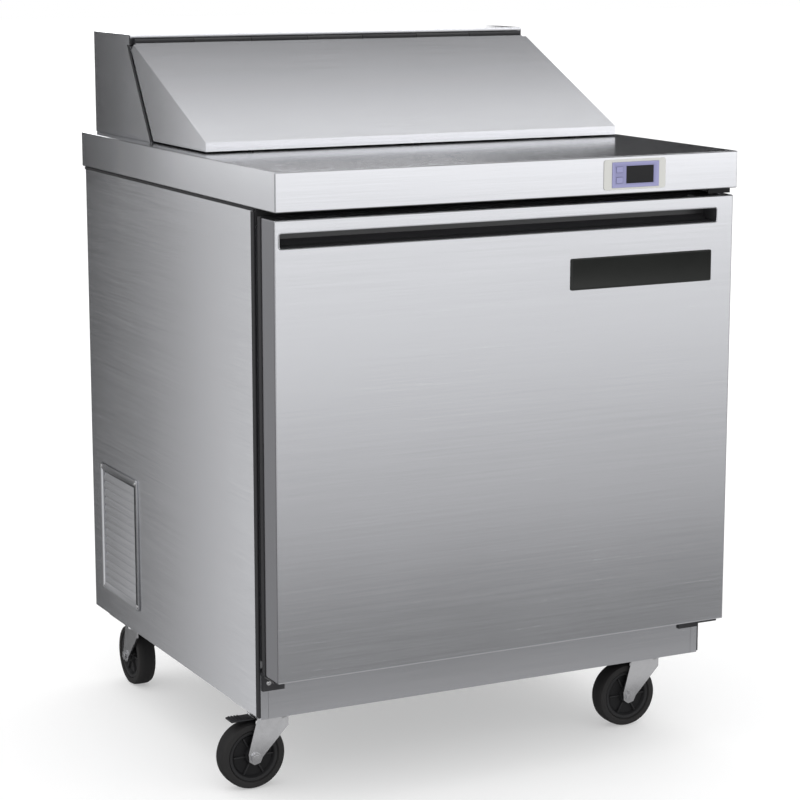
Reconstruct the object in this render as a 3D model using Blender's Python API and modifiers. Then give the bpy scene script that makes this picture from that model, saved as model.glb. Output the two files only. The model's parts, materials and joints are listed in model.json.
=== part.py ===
"""Refrigerated sandwich prep table: one door, a pan well under a hinged lid, and four casters.

Metres, +Z up, +X to the operator's right, the door at -Y. The origin is on the floor,
under the middle of the counter.
"""
import math

import bmesh
import bpy
from mathutils import Matrix, Vector

# ---------------------------------------------------------------- driving dimensions
WIDTH = 0.737
DEPTH = 0.754
WORK_TOP = 0.903
BAND_HEIGHT = 0.054
HOOD_TOP = 1.061
CASTER_HEIGHT = 0.126
WHEEL_RADIUS = 0.050

GAP = 0.0003
SHEET = 0.0012
HALF = WIDTH / 2
BAND_BOTTOM = WORK_TOP - BAND_HEIGHT

# The cabinet stands a little inside the counter, and its front is set back behind the door.
CABINET_HALF = HALF - 0.003
CABINET_FRONT = 0.072
CABINET_REAR = 0.745
CABINET_BOTTOM = CASTER_HEIGHT + 0.0006
CABINET_TOP = BAND_BOTTOM - 0.0006

# Refrigerated space: full depth above the compressor housing, shorter in front of it.
LINER_HALF = 0.330
LINER_WALL = 0.0015
LINER_FRONT = CABINET_FRONT + 0.002
LINER_FLOOR = 0.221
LINER_STEP = 0.430
LINER_SHORT_REAR = 0.506
LINER_REAR = 0.706
LINER_TOP = CABINET_TOP - 0.0004
SHELF_LEVEL = 0.500

# The door hangs in front of the cabinet.
DOOR_HALF = HALF - 0.001
DOOR_FRONT = 0.0066
DOOR_THICKNESS = 0.052
DOOR_REAR = DOOR_FRONT + DOOR_THICKNESS
DOOR_BOTTOM = 0.1966
DOOR_TOP = 0.8386
DOOR_AXIS_X = DOOR_HALF - 0.013
DOOR_AXIS_DEPTH = 0.030
HANDLE_LOW = 0.800
HANDLE_HIGH = 0.8205
HANDLE_LEFT = -0.3600
HANDLE_RIGHT = 0.3385
HANDLE_DEPTH = 0.042

# The pan well, in the counter.
WELL_HALF = 0.331
WELL_FRONT = 0.3105
WELL_REAR = 0.6705
PAN_PITCH_X = 0.1625
PAN_PITCH_Y = 0.176
PAN_COLUMNS = 4
PAN_HOLE = (0.0752, 0.0820)
PAN_RIM = (0.0805, 0.0884)
PAN_MOUTH = (0.0747, 0.0814)
PAN_TAPER = 0.91
PAN_DEPTH = 0.100
PAN_SHEET = 0.0008

# The hood, and the lid hinged along the hood's front edge.
HOOD_HALF = HALF - 0.025
HOOD_WALL = 0.010
HOOD_REAR = DEPTH - 0.0002
HOOD_EDGE_TOP = (0.597, 1.046)
HOOD_EDGE_BOTTOM = (0.505, WORK_TOP + GAP)
LID_AXIS = (0.590, 1.050)
LID_SKIN_RISE = 0.002
LID_FRONT = 0.297
LID_FRONT_TOP = 0.919
LID_BOTTOM = WORK_TOP + 0.003
LID_START = 0.012
KNUCKLE_RADIUS = 0.0045
KNUCKLE_COUNT = 7
HINGE_HALF = HOOD_HALF - 0.0055

# Controller, in the counter's front band.
CONTROL_CENTRE = (0.193, WORK_TOP - 0.0265)
CONTROL_FACE = (0.078, 0.036)
CONTROL_BODY = (0.069, 0.028)
CONTROL_PROUD = 0.0020
BUTTON_PROUD = 0.0026
BUTTON_X = 0.1655
BUTTON_RISE = 0.0075
BUTTON_SIZE = (0.010, 0.008)

# Refrigeration: the evaporator cover under the well, and the machinery behind the short floor.
COVER_HALF = 0.240
COVER_FRONT = 0.610
COVER_Z = (0.560, 0.770)
COVER_WALL = 0.002
EVAPORATOR_FAN_DEPTH = 0.635
COMPRESSOR_CENTRE = (0.190, 0.630)
COMPRESSOR_RADIUS = 0.062
COMPRESSOR_HEIGHT = 0.150
CONDENSER_X = (-0.345, -0.300)
CONDENSER_DEPTH = (0.548, 0.699)
CONDENSER_TOP = 0.372
CONDENSER_FAN_CENTRE = (-0.272, 0.6235, 0.262)
MOTOR_X = -0.228
PIPE_LEVEL = 0.365
GLAND_CENTRE = (0.290, 0.300)
# The gland stands out behind as far as the keys do in front, which keeps the counter central.
GLAND_PROUD = BUTTON_PROUD

# Casters.
SWIVEL_X = 0.316
FRONT_SWIVEL = 0.152
REAR_SWIVEL = 0.660
TRAIL = 0.032
WHEEL_HALF_WIDTH = 0.015
HUB_RADIUS = 0.0372

# ---------------------------------------------------------------- scene and materials
for old in list(bpy.data.objects):
    bpy.data.objects.remove(old, do_unlink=True)


def new_collection(name):
    collection = bpy.data.collections.new(name)
    bpy.context.scene.collection.children.link(collection)
    return collection


PARTS = new_collection("sandwich_prep_table")
CUTTERS = new_collection("cutters")


def make_material(name, colour, roughness, metallic):
    material = bpy.data.materials.new(name)
    material.use_nodes = True
    shader = material.node_tree.nodes["Principled BSDF"]
    shader.inputs["Base Color"].default_value = (*colour, 1.0)
    shader.inputs["Roughness"].default_value = roughness
    shader.inputs["Metallic"].default_value = metallic
    return material


STEEL = make_material("brushed_stainless", (0.62, 0.63, 0.65), 0.32, 1.0)
PAN_STEEL = make_material("drawn_stainless", (0.66, 0.66, 0.67), 0.22, 1.0)
ZINC = make_material("zinc_plate", (0.60, 0.61, 0.62), 0.38, 1.0)
GALVANISED = make_material("galvanised_sheet", (0.52, 0.53, 0.54), 0.45, 1.0)
BLACK_PLASTIC = make_material("black_plastic", (0.02, 0.02, 0.022), 0.45, 0.0)
BLACK_RUBBER = make_material("black_rubber", (0.015, 0.015, 0.015), 0.75, 0.0)
GREY_RUBBER = make_material("gasket_vinyl", (0.03, 0.03, 0.032), 0.6, 0.0)
WHITE_PLASTIC = make_material("white_plastic", (0.80, 0.80, 0.78), 0.4, 0.0)
FOAM = make_material("insulating_foam", (0.78, 0.70, 0.48), 0.9, 0.0)
BEZEL_GREY = make_material("controller_bezel", (0.30, 0.30, 0.42), 0.4, 0.0)
DISPLAY_BLACK = make_material("display_window", (0.01, 0.01, 0.012), 0.12, 0.0)
ALUMINIUM = make_material("fin_aluminium", (0.72, 0.73, 0.74), 0.4, 1.0)
COPPER = make_material("copper_tube", (0.72, 0.36, 0.22), 0.3, 1.0)
BLACK_PAINT = make_material("black_enamel", (0.02, 0.02, 0.02), 0.35, 0.0)


# ---------------------------------------------------------------- modelling helpers
def at_depth(distance):
    """World Y of a distance measured back from the counter's front edge."""
    return distance - DEPTH / 2


def finish(obj, name, material, smooth=False):
    """Name an object, give it its material, and put it in the parts collection."""
    obj.name = name
    obj.data.name = name
    obj.data.materials.clear()
    obj.data.materials.append(material)
    for collection in list(obj.users_collection):
        collection.objects.unlink(obj)
    PARTS.objects.link(obj)
    if smooth:
        obj.data.shade_smooth()
        obj.data.set_sharp_from_angle(angle=math.radians(35))
    return obj


def add_bevel(obj, width, segments=2):
    bevel = obj.modifiers.new("edge", "BEVEL")
    bevel.width = width
    bevel.segments = segments
    bevel.limit_method = "ANGLE"
    bevel.angle_limit = math.radians(40)
    return obj


def add_box(name, x, y, z, material, bevel=0.0):
    """A box between (low, high) limits; y is measured back from the counter's front edge."""
    spans = (x, (at_depth(y[0]), at_depth(y[1])), z)
    centre = [(low + high) / 2 for low, high in spans]
    size = [high - low for low, high in spans]
    bpy.ops.mesh.primitive_cube_add(size=1.0, location=centre)
    obj = bpy.context.object
    obj.data.transform(Matrix.Diagonal((*size, 1.0)))
    if bevel:
        add_bevel(obj, bevel)
    return finish(obj, name, material)


AXIS_TURN = {
    "X": Matrix.Rotation(math.radians(90), 4, "Y"),
    "Y": Matrix.Rotation(math.radians(90), 4, "X"),
    "Z": Matrix.Identity(4),
}


def add_cylinder(name, radius, span, centre, axis, material, sides=24, bevel=0.0):
    """A cylinder along an axis, between (low, high) on it; centre gives the other two, in order."""
    middle = (span[0] + span[1]) / 2
    place = list(centre)
    place.insert("XYZ".index(axis), middle)
    bpy.ops.mesh.primitive_cylinder_add(vertices=sides, radius=radius, depth=span[1] - span[0], location=place)
    obj = bpy.context.object
    obj.data.transform(AXIS_TURN[axis])
    if bevel:
        add_bevel(obj, bevel)
    return finish(obj, name, material, smooth=not bevel)


PLANE_TURN = {
    "XY": Matrix.Identity(4),
    "YZ": Matrix(((0, 0, 1, 0), (1, 0, 0, 0), (0, 1, 0, 0), (0, 0, 0, 1))),
    "XZ": Matrix(((1, 0, 0, 0), (0, 0, -1, 0), (0, 1, 0, 0), (0, 0, 0, 1))),
}


def as_mesh(curve_object):
    """Turn a curve object into a welded mesh object in the same place."""
    depsgraph = bpy.context.evaluated_depsgraph_get()
    mesh = bpy.data.meshes.new_from_object(curve_object.evaluated_get(depsgraph))
    work = bmesh.new()
    work.from_mesh(mesh)
    bmesh.ops.remove_doubles(work, verts=work.verts, dist=0.00001)
    bmesh.ops.recalc_face_normals(work, faces=work.faces)
    work.to_mesh(mesh)
    work.free()
    obj = bpy.data.objects.new(curve_object.name, mesh)
    obj.matrix_world = curve_object.matrix_world.copy()
    bpy.context.scene.collection.objects.link(obj)
    bpy.data.objects.remove(curve_object, do_unlink=True)
    return obj


def add_outline(name, plane, outline, span, material, holes=()):
    """A flat outline, with holes, filled in its plane and extruded across span on the third axis.

    Depths in the outline, and a span across Y, are measured back from the counter's front edge.
    """
    curve = bpy.data.curves.new(name, "CURVE")
    curve.dimensions = "2D"
    curve.fill_mode = "BOTH"
    curve.extrude = (span[1] - span[0]) / 2
    for loop in (outline, *holes):
        spline = curve.splines.new("POLY")
        spline.points.add(len(loop) - 1)
        spline.use_cyclic_u = True
        for point, (first, second) in zip(spline.points, loop):
            if plane == "XY":
                second = at_depth(second)
            elif plane == "YZ":
                first = at_depth(first)
            point.co = (first, second, 0.0, 1.0)
    obj = bpy.data.objects.new(name, curve)
    bpy.context.scene.collection.objects.link(obj)
    middle = (span[0] + span[1]) / 2
    shift = {"XY": (0, 0, middle), "YZ": (middle, 0, 0), "XZ": (0, at_depth(middle), 0)}[plane]
    obj.matrix_world = Matrix.Translation(shift) @ PLANE_TURN[plane]
    bpy.context.view_layer.update()
    return finish(as_mesh(obj), name, material)


def add_tube(name, points, radius, material):
    """A round tube through the given world points."""
    curve = bpy.data.curves.new(name, "CURVE")
    curve.dimensions = "3D"
    curve.bevel_depth = radius
    curve.bevel_resolution = 2
    curve.use_fill_caps = True
    spline = curve.splines.new("POLY")
    spline.points.add(len(points) - 1)
    for point, place in zip(spline.points, points):
        point.co = (*place, 1.0)
    obj = bpy.data.objects.new(name, curve)
    bpy.context.scene.collection.objects.link(obj)
    bpy.context.view_layer.update()
    return finish(as_mesh(obj), name, material, smooth=True)


def rectangle(low_a, high_a, low_b, high_b):
    return [(low_a, low_b), (high_a, low_b), (high_a, high_b), (low_a, high_b)]


def combine(target, tool, operation):
    """Keep tool as a hidden guide, and join it to target or cut it from target."""
    for collection in list(tool.users_collection):
        collection.objects.unlink(tool)
    CUTTERS.objects.link(tool)
    tool.hide_render = True
    tool.display_type = "WIRE"
    boolean = target.modifiers.new(tool.name, "BOOLEAN")
    boolean.operation = operation
    boolean.solver = "EXACT"
    boolean.object = tool
    return target


def cut(target, *tools):
    for tool in tools:
        combine(target, tool, "DIFFERENCE")
    return target


def join(target, *tools):
    for tool in tools:
        combine(target, tool, "UNION")
    return target


def add_axis(name, place, turn=0.0, parent=None):
    """An empty on a joint's axis."""
    empty = bpy.data.objects.new(name, None)
    empty.empty_display_size = 0.03
    PARTS.objects.link(empty)
    empty.parent = parent
    empty.location = place
    empty.rotation_euler = (0.0, 0.0, turn)
    bpy.context.view_layer.update()
    return empty


def hang(empty, *objects):
    """Parent objects, and the guides that shape them, to a joint's empty where they already stand."""
    bpy.context.view_layer.update()
    for obj in objects:
        tools = [modifier.object for modifier in obj.modifiers if modifier.type == "BOOLEAN"]
        for piece in (obj, *tools):
            piece.parent = empty
            piece.matrix_parent_inverse = empty.matrix_world.inverted()


# ---------------------------------------------------------------- counter and pan well
def make_counter():
    top = add_box("counter_top", (-HALF, HALF), (0, DEPTH), (BAND_BOTTOM, WORK_TOP), STEEL, bevel=0.0015)
    inner = HALF - SHEET
    room = 0.0006
    control_x, control_z = CONTROL_CENTRE
    body_x = CONTROL_BODY[0] / 2 + 0.0005
    body_z = CONTROL_BODY[1] / 2 + 0.0005
    cut(
        top,
        add_box("counter_inside", (-inner, inner), (SHEET, DEPTH - SHEET),
                (BAND_BOTTOM - 0.01, WORK_TOP - SHEET), STEEL),
        add_box("counter_well", (-WELL_HALF - room, WELL_HALF + room), (WELL_FRONT - room, WELL_REAR + room),
                (WORK_TOP - 0.01, WORK_TOP + 0.01), STEEL),
        add_box("counter_control", (control_x - body_x, control_x + body_x), (-0.01, 0.01),
                (control_z - body_z, control_z + body_z), STEEL),
    )
    ring = 0.004
    outer = rectangle(-WELL_HALF, WELL_HALF, WELL_FRONT, WELL_REAR)
    inside = rectangle(-WELL_HALF + ring, WELL_HALF - ring, WELL_FRONT + ring, WELL_REAR - ring)
    frame_low = WORK_TOP - 0.006
    add_outline("well_liner", "XY", outer, (BAND_BOTTOM + GAP, frame_low - GAP), WHITE_PLASTIC, [inside])
    holes = []
    for x, y in pan_centres():
        holes.append(rectangle(x - PAN_HOLE[0], x + PAN_HOLE[0], y - PAN_HOLE[1], y + PAN_HOLE[1]))
    add_outline("pan_support_frame", "XY", outer, (frame_low, frame_low + 0.003), STEEL, holes)


def pan_centres():
    """Centres of the pans, column by column from the left, the front one of each column first."""
    middle = (WELL_FRONT + WELL_REAR) / 2
    centres = []
    for column in range(PAN_COLUMNS):
        x = (column - (PAN_COLUMNS - 1) / 2) * PAN_PITCH_X
        centres.append((x, middle - PAN_PITCH_Y / 2))
        centres.append((x, middle + PAN_PITCH_Y / 2))
    return centres


def make_pan(name, x, y):
    """A tapered pan with rounded corners and a flat rim: an open surface with Solidify."""
    rim_z = WORK_TOP - 0.003 + GAP
    work = bmesh.new()
    bmesh.ops.create_cube(work, size=2.0)
    upright = [edge for edge in work.edges if abs(edge.verts[0].co.z - edge.verts[1].co.z) > 1.0]
    bmesh.ops.bevel(work, geom=upright, offset=0.22, segments=3, profile=0.5, affect="EDGES")
    top = [face for face in work.faces if face.normal.z > 0.9]
    bmesh.ops.delete(work, geom=top, context="FACES_ONLY")
    for vert in work.verts:
        taper = 1.0 if vert.co.z > 0 else PAN_TAPER
        height = 0.0 if vert.co.z > 0 else -PAN_DEPTH
        vert.co = (vert.co.x * PAN_MOUTH[0] * taper, vert.co.y * PAN_MOUTH[1] * taper, height)
    mouth = [edge for edge in work.edges if edge.is_boundary]
    rim = bmesh.ops.extrude_edge_only(work, edges=mouth)
    for vert in rim["geom"]:
        if isinstance(vert, bmesh.types.BMVert):
            vert.co.x *= PAN_RIM[0] / PAN_MOUTH[0]
            vert.co.y *= PAN_RIM[1] / PAN_MOUTH[1]
    mesh = bpy.data.meshes.new(name)
    work.to_mesh(mesh)
    work.free()
    obj = bpy.data.objects.new(name, mesh)
    bpy.context.scene.collection.objects.link(obj)
    obj.location = (x, at_depth(y), rim_z)
    bpy.context.view_layer.update()
    solid = obj.modifiers.new("sheet", "SOLIDIFY")
    solid.thickness = PAN_SHEET
    solid.offset = -1.0
    return finish(as_mesh(obj), name, PAN_STEEL)


def make_pans():
    """Two pans to a column, front and rear, joined along the rims where they meet."""
    centres = pan_centres()
    for column in range(PAN_COLUMNS):
        front = make_pan(f"food_pans_{column + 1}", *centres[2 * column])
        join(front, make_pan(f"rear_pan_{column + 1}", *centres[2 * column + 1]))


# ---------------------------------------------------------------- hood and lid
LID_SLOPE = math.atan2(LID_AXIS[1] + LID_SKIN_RISE - LID_FRONT_TOP, LID_AXIS[0] - LID_FRONT)


def on_lid(along, rise):
    """Depth and height of a place on the closed lid: along the slope from the hinge, and above it."""
    depth = LID_AXIS[0] - along * math.cos(LID_SLOPE) - rise * math.sin(LID_SLOPE)
    height = LID_AXIS[1] - along * math.sin(LID_SLOPE) + rise * math.cos(LID_SLOPE)
    return depth, height


def lid_height(depth, rise):
    """Height of a line parallel to the lid's face, at a given depth."""
    level = LID_AXIS[1] + rise / math.cos(LID_SLOPE)
    return level - (LID_AXIS[0] - depth) * math.tan(LID_SLOPE)


def make_hood():
    outline = [
        HOOD_EDGE_BOTTOM,
        (HOOD_REAR, WORK_TOP + GAP),
        (HOOD_REAR, HOOD_TOP),
        (HOOD_EDGE_TOP[0], HOOD_TOP),
        HOOD_EDGE_TOP,
    ]
    hood = add_outline("hood", "YZ", outline, (-HOOD_HALF, HOOD_HALF), STEEL)
    inner = HOOD_HALF - HOOD_WALL
    cut(hood, add_box("hood_inside", (-inner, inner), (HOOD_EDGE_BOTTOM[0] - 0.06, HOOD_REAR - HOOD_WALL),
                      (WORK_TOP - 0.02, HOOD_TOP - 0.012), STEEL))


def knuckle_span(index):
    length = 2 * HINGE_HALF / KNUCKLE_COUNT
    low = -HINGE_HALF + index * length
    return low + 0.0005, low + length - 0.0005


def make_hinge():
    centre = (at_depth(LID_AXIS[0]), LID_AXIS[1])
    leaf_face = LID_AXIS[0] + KNUCKLE_RADIUS + 0.0005
    leaf_low = LID_AXIS[1] - 0.002
    leaf = add_box("hood_hinge", (-HINGE_HALF, HINGE_HALF), (leaf_face, HOOD_EDGE_TOP[0] - 0.0004),
                   (leaf_low, HOOD_TOP - 0.001), BLACK_PLASTIC)
    for index in range(0, KNUCKLE_COUNT, 2):
        span = knuckle_span(index)
        join(leaf, add_box(f"hood_bridge_{index}", span, (LID_AXIS[0] + 0.002, leaf_face + 0.0005),
                           (leaf_low + 0.0005, LID_AXIS[1] + 0.003), BLACK_PLASTIC))
        join(leaf, add_cylinder(f"hood_knuckle_{index}", KNUCKLE_RADIUS, span, centre, "X", BLACK_PLASTIC, 12))
    pin = (-HINGE_HALF + 0.002, HINGE_HALF - 0.002)
    join(leaf, add_cylinder("hinge_pin", 0.0020, pin, centre, "X", BLACK_PLASTIC, 8))


def make_lid():
    axis = add_axis("lid_axis", (0.0, at_depth(LID_AXIS[0]), LID_AXIS[1]))
    seam = 0.0035
    seam_run = (HOOD_EDGE_TOP[0] - HOOD_EDGE_BOTTOM[0]) / (HOOD_EDGE_TOP[1] - HOOD_EDGE_BOTTOM[1])
    rear_top = HOOD_EDGE_TOP[1] - 0.0075
    outline = [
        on_lid(LID_START, LID_SKIN_RISE),
        (LID_FRONT, LID_FRONT_TOP),
        (LID_FRONT, LID_BOTTOM),
        (HOOD_EDGE_TOP[0] - seam - (HOOD_EDGE_TOP[1] - LID_BOTTOM) * seam_run, LID_BOTTOM),
        (HOOD_EDGE_TOP[0] - seam - (HOOD_EDGE_TOP[1] - rear_top) * seam_run, rear_top),
    ]
    skin = add_outline("lid_skin", "YZ", outline, (-HOOD_HALF, HOOD_HALF), STEEL)
    under = LID_SKIN_RISE - SHEET
    beyond = 0.03
    hollow = [
        (LID_FRONT + SHEET, lid_height(LID_FRONT + SHEET, under)),
        (LID_FRONT + SHEET, LID_BOTTOM - beyond),
        (LID_AXIS[0] + beyond, LID_BOTTOM - beyond),
        (LID_AXIS[0] + beyond, lid_height(LID_AXIS[0] + beyond, under)),
    ]
    cut(skin, add_outline("lid_hollow", "YZ", hollow, (-HOOD_HALF + SHEET, HOOD_HALF - SHEET), STEEL))
    leaf = [on_lid(0.0062, -0.0010), on_lid(0.0062, 0.0011), on_lid(0.030, 0.0011), on_lid(0.030, -0.0010)]
    join(skin, add_outline("lid_leaf", "YZ", leaf, (-HINGE_HALF, HINGE_HALF), STEEL))
    bridge = [on_lid(0.0035, -0.0009), on_lid(0.0035, 0.0009), on_lid(0.0075, 0.0009), on_lid(0.0075, -0.0009)]
    centre = (at_depth(LID_AXIS[0]), LID_AXIS[1])
    for index in range(1, KNUCKLE_COUNT, 2):
        span = knuckle_span(index)
        join(skin, add_outline(f"lid_bridge_{index}", "YZ", bridge, span, STEEL))
        join(skin, add_cylinder(f"lid_knuckle_{index}", KNUCKLE_RADIUS, span, centre, "X", STEEL, 12))
    bore = (-HINGE_HALF - 0.01, HINGE_HALF + 0.01)
    cut(skin, add_cylinder("lid_bore", 0.0025, bore, centre, "X", STEEL, 8))

    thick = -0.0145
    start = 0.033
    low = LID_BOTTOM + 0.0005
    front = LID_FRONT + SHEET + GAP
    drop = low - lid_height(0.0, thick)
    liner_outline = [
        on_lid(start, under - GAP),
        (front, lid_height(front, under - GAP)),
        (front, low),
        (drop / math.tan(LID_SLOPE), low),
        on_lid(start, thick),
    ]
    half = HOOD_HALF - SHEET - 0.0004
    liner = add_outline("lid_liner", "YZ", liner_outline, (-half, half), WHITE_PLASTIC)
    hang(axis, skin, liner)


# ---------------------------------------------------------------- door
def hinge_hole(name, z):
    centre = (DOOR_AXIS_X, at_depth(DOOR_AXIS_DEPTH))
    return add_cylinder(name, 0.0046, z, centre, "Z", STEEL, 16)


def make_door():
    axis = add_axis("door_axis", (DOOR_AXIS_X, at_depth(DOOR_AXIS_DEPTH), (DOOR_BOTTOM + DOOR_TOP) / 2))
    top_hole = (DOOR_TOP - 0.018, DOOR_TOP + 0.01)
    bottom_hole = (DOOR_BOTTOM - 0.01, DOOR_BOTTOM + 0.018)

    shell = add_box("door_shell", (-DOOR_HALF, DOOR_HALF), (DOOR_FRONT, DOOR_REAR),
                    (DOOR_BOTTOM, DOOR_TOP), STEEL, bevel=0.002)
    inner = DOOR_HALF - SHEET
    cut(
        shell,
        add_box("door_inside", (-inner, inner), (DOOR_FRONT + SHEET, DOOR_REAR + 0.01),
                (DOOR_BOTTOM + SHEET, DOOR_TOP - SHEET), STEEL),
        add_box("door_slot", (HANDLE_LEFT, HANDLE_RIGHT), (DOOR_FRONT - 0.01, DOOR_FRONT + 0.005),
                (HANDLE_LOW, HANDLE_HIGH), STEEL),
        hinge_hole("shell_top_hole", top_hole),
        hinge_hole("shell_bottom_hole", bottom_hole),
    )

    wall = 0.0020
    face = DOOR_FRONT + SHEET + GAP
    pocket_top = HANDLE_HIGH + 0.012
    channel = add_box("door_handle_channel", (HANDLE_LEFT - wall, HANDLE_RIGHT + wall), (face, HANDLE_DEPTH + wall),
                      (HANDLE_LOW - 0.004, pocket_top + wall), BLACK_PLASTIC)
    pocket = [
        (face - 0.005, HANDLE_LOW),
        (HANDLE_DEPTH - 0.008, HANDLE_LOW + 0.0015),
        (HANDLE_DEPTH, HANDLE_LOW + 0.009),
        (HANDLE_DEPTH, pocket_top - 0.006),
        (HANDLE_DEPTH - 0.006, pocket_top),
        (face + 0.003, pocket_top),
        (face + 0.003, HANDLE_HIGH),
        (face - 0.005, HANDLE_HIGH),
    ]
    cut(channel, add_outline("door_pocket", "YZ", pocket, (HANDLE_LEFT, HANDLE_RIGHT), STEEL))

    foam = DOOR_HALF - SHEET - GAP
    core = add_box("door_core", (-foam, foam), (face, DOOR_REAR - SHEET - 2 * GAP),
                   (DOOR_BOTTOM + SHEET + GAP, DOOR_TOP - SHEET - GAP), FOAM)
    room = 0.0006
    cut(
        core,
        add_box("core_channel", (HANDLE_LEFT - wall - room, HANDLE_RIGHT + wall + room),
                (0.0, HANDLE_DEPTH + wall + room), (HANDLE_LOW - 0.004 - room, pocket_top + wall + room), FOAM),
        hinge_hole("core_top_hole", top_hole),
        hinge_hole("core_bottom_hole", bottom_hole),
    )

    liner = add_box("door_liner", (-foam, foam), (DOOR_REAR - SHEET - GAP, DOOR_REAR - GAP),
                    (DOOR_BOTTOM + SHEET + GAP, DOOR_TOP - SHEET - GAP), WHITE_PLASTIC)
    join(liner, add_box("liner_raise", (-0.300, 0.300), (DOOR_REAR - 0.001, DOOR_REAR + 0.010),
                        (0.252, 0.783), WHITE_PLASTIC, bevel=0.004))

    edge = 0.016
    lip = 0.020
    outer = rectangle(-DOOR_HALF + edge, DOOR_HALF - edge, DOOR_BOTTOM + edge, DOOR_TOP - edge)
    inside = rectangle(-DOOR_HALF + edge + lip, DOOR_HALF - edge - lip,
                       DOOR_BOTTOM + edge + lip, DOOR_TOP - edge - lip)
    gasket = add_outline("door_gasket", "XZ", outer, (DOOR_REAR, CABINET_FRONT - 0.0004), GREY_RUBBER, [inside])

    badge = add_box("door_badge", (0.092, 0.330), (DOOR_FRONT - 0.0018, DOOR_FRONT - GAP),
                    (0.7145, 0.7600), BLACK_PLASTIC, bevel=0.0008)
    hang(axis, shell, channel, core, liner, gasket, badge)


def make_brackets():
    """Corner brackets: a shelf under or over the door with its pin, and a flange on the cabinet's face."""
    centre = (DOOR_AXIS_X, at_depth(DOOR_AXIS_DEPTH))
    reach = (0.018, CABINET_FRONT - GAP)
    flange = (CABINET_FRONT - GAP - 0.003, CABINET_FRONT - GAP)
    span = (0.330, 0.3636)
    top = add_box("hinge_bracket_top", span, reach, (DOOR_TOP + 0.0018, DOOR_TOP + 0.0048), ZINC)
    join(
        top,
        add_box("top_flange", span, flange, (DOOR_TOP - 0.012, DOOR_TOP + 0.0046), ZINC),
        add_cylinder("top_pin", 0.0040, (DOOR_TOP - 0.014, DOOR_TOP + 0.0040), centre, "Z", ZINC, 16),
    )
    bottom = add_box("hinge_bracket_bottom", span, reach, (DOOR_BOTTOM - 0.0058, DOOR_BOTTOM - 0.0028), ZINC)
    join(
        bottom,
        add_box("bottom_flange", span, flange, (DOOR_BOTTOM - 0.028, DOOR_BOTTOM - 0.0030), ZINC),
        add_cylinder("bottom_pin", 0.0040, (DOOR_BOTTOM - 0.0050, DOOR_BOTTOM + 0.014), centre, "Z", ZINC, 16),
    )
    rest = add_box("door_rest_bracket", (-span[1], -span[0]), (0.030, CABINET_FRONT - GAP),
                   (DOOR_BOTTOM - 0.0058, DOOR_BOTTOM - 0.0028), ZINC)
    join(rest, add_box("rest_flange", (-span[1], -span[0]), flange, (DOOR_BOTTOM - 0.028, DOOR_BOTTOM - 0.0030), ZINC))


# ---------------------------------------------------------------- cabinet
VENT_DEPTH = (0.542, 0.705)
VENT_HEIGHT = (0.165, 0.376)


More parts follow.
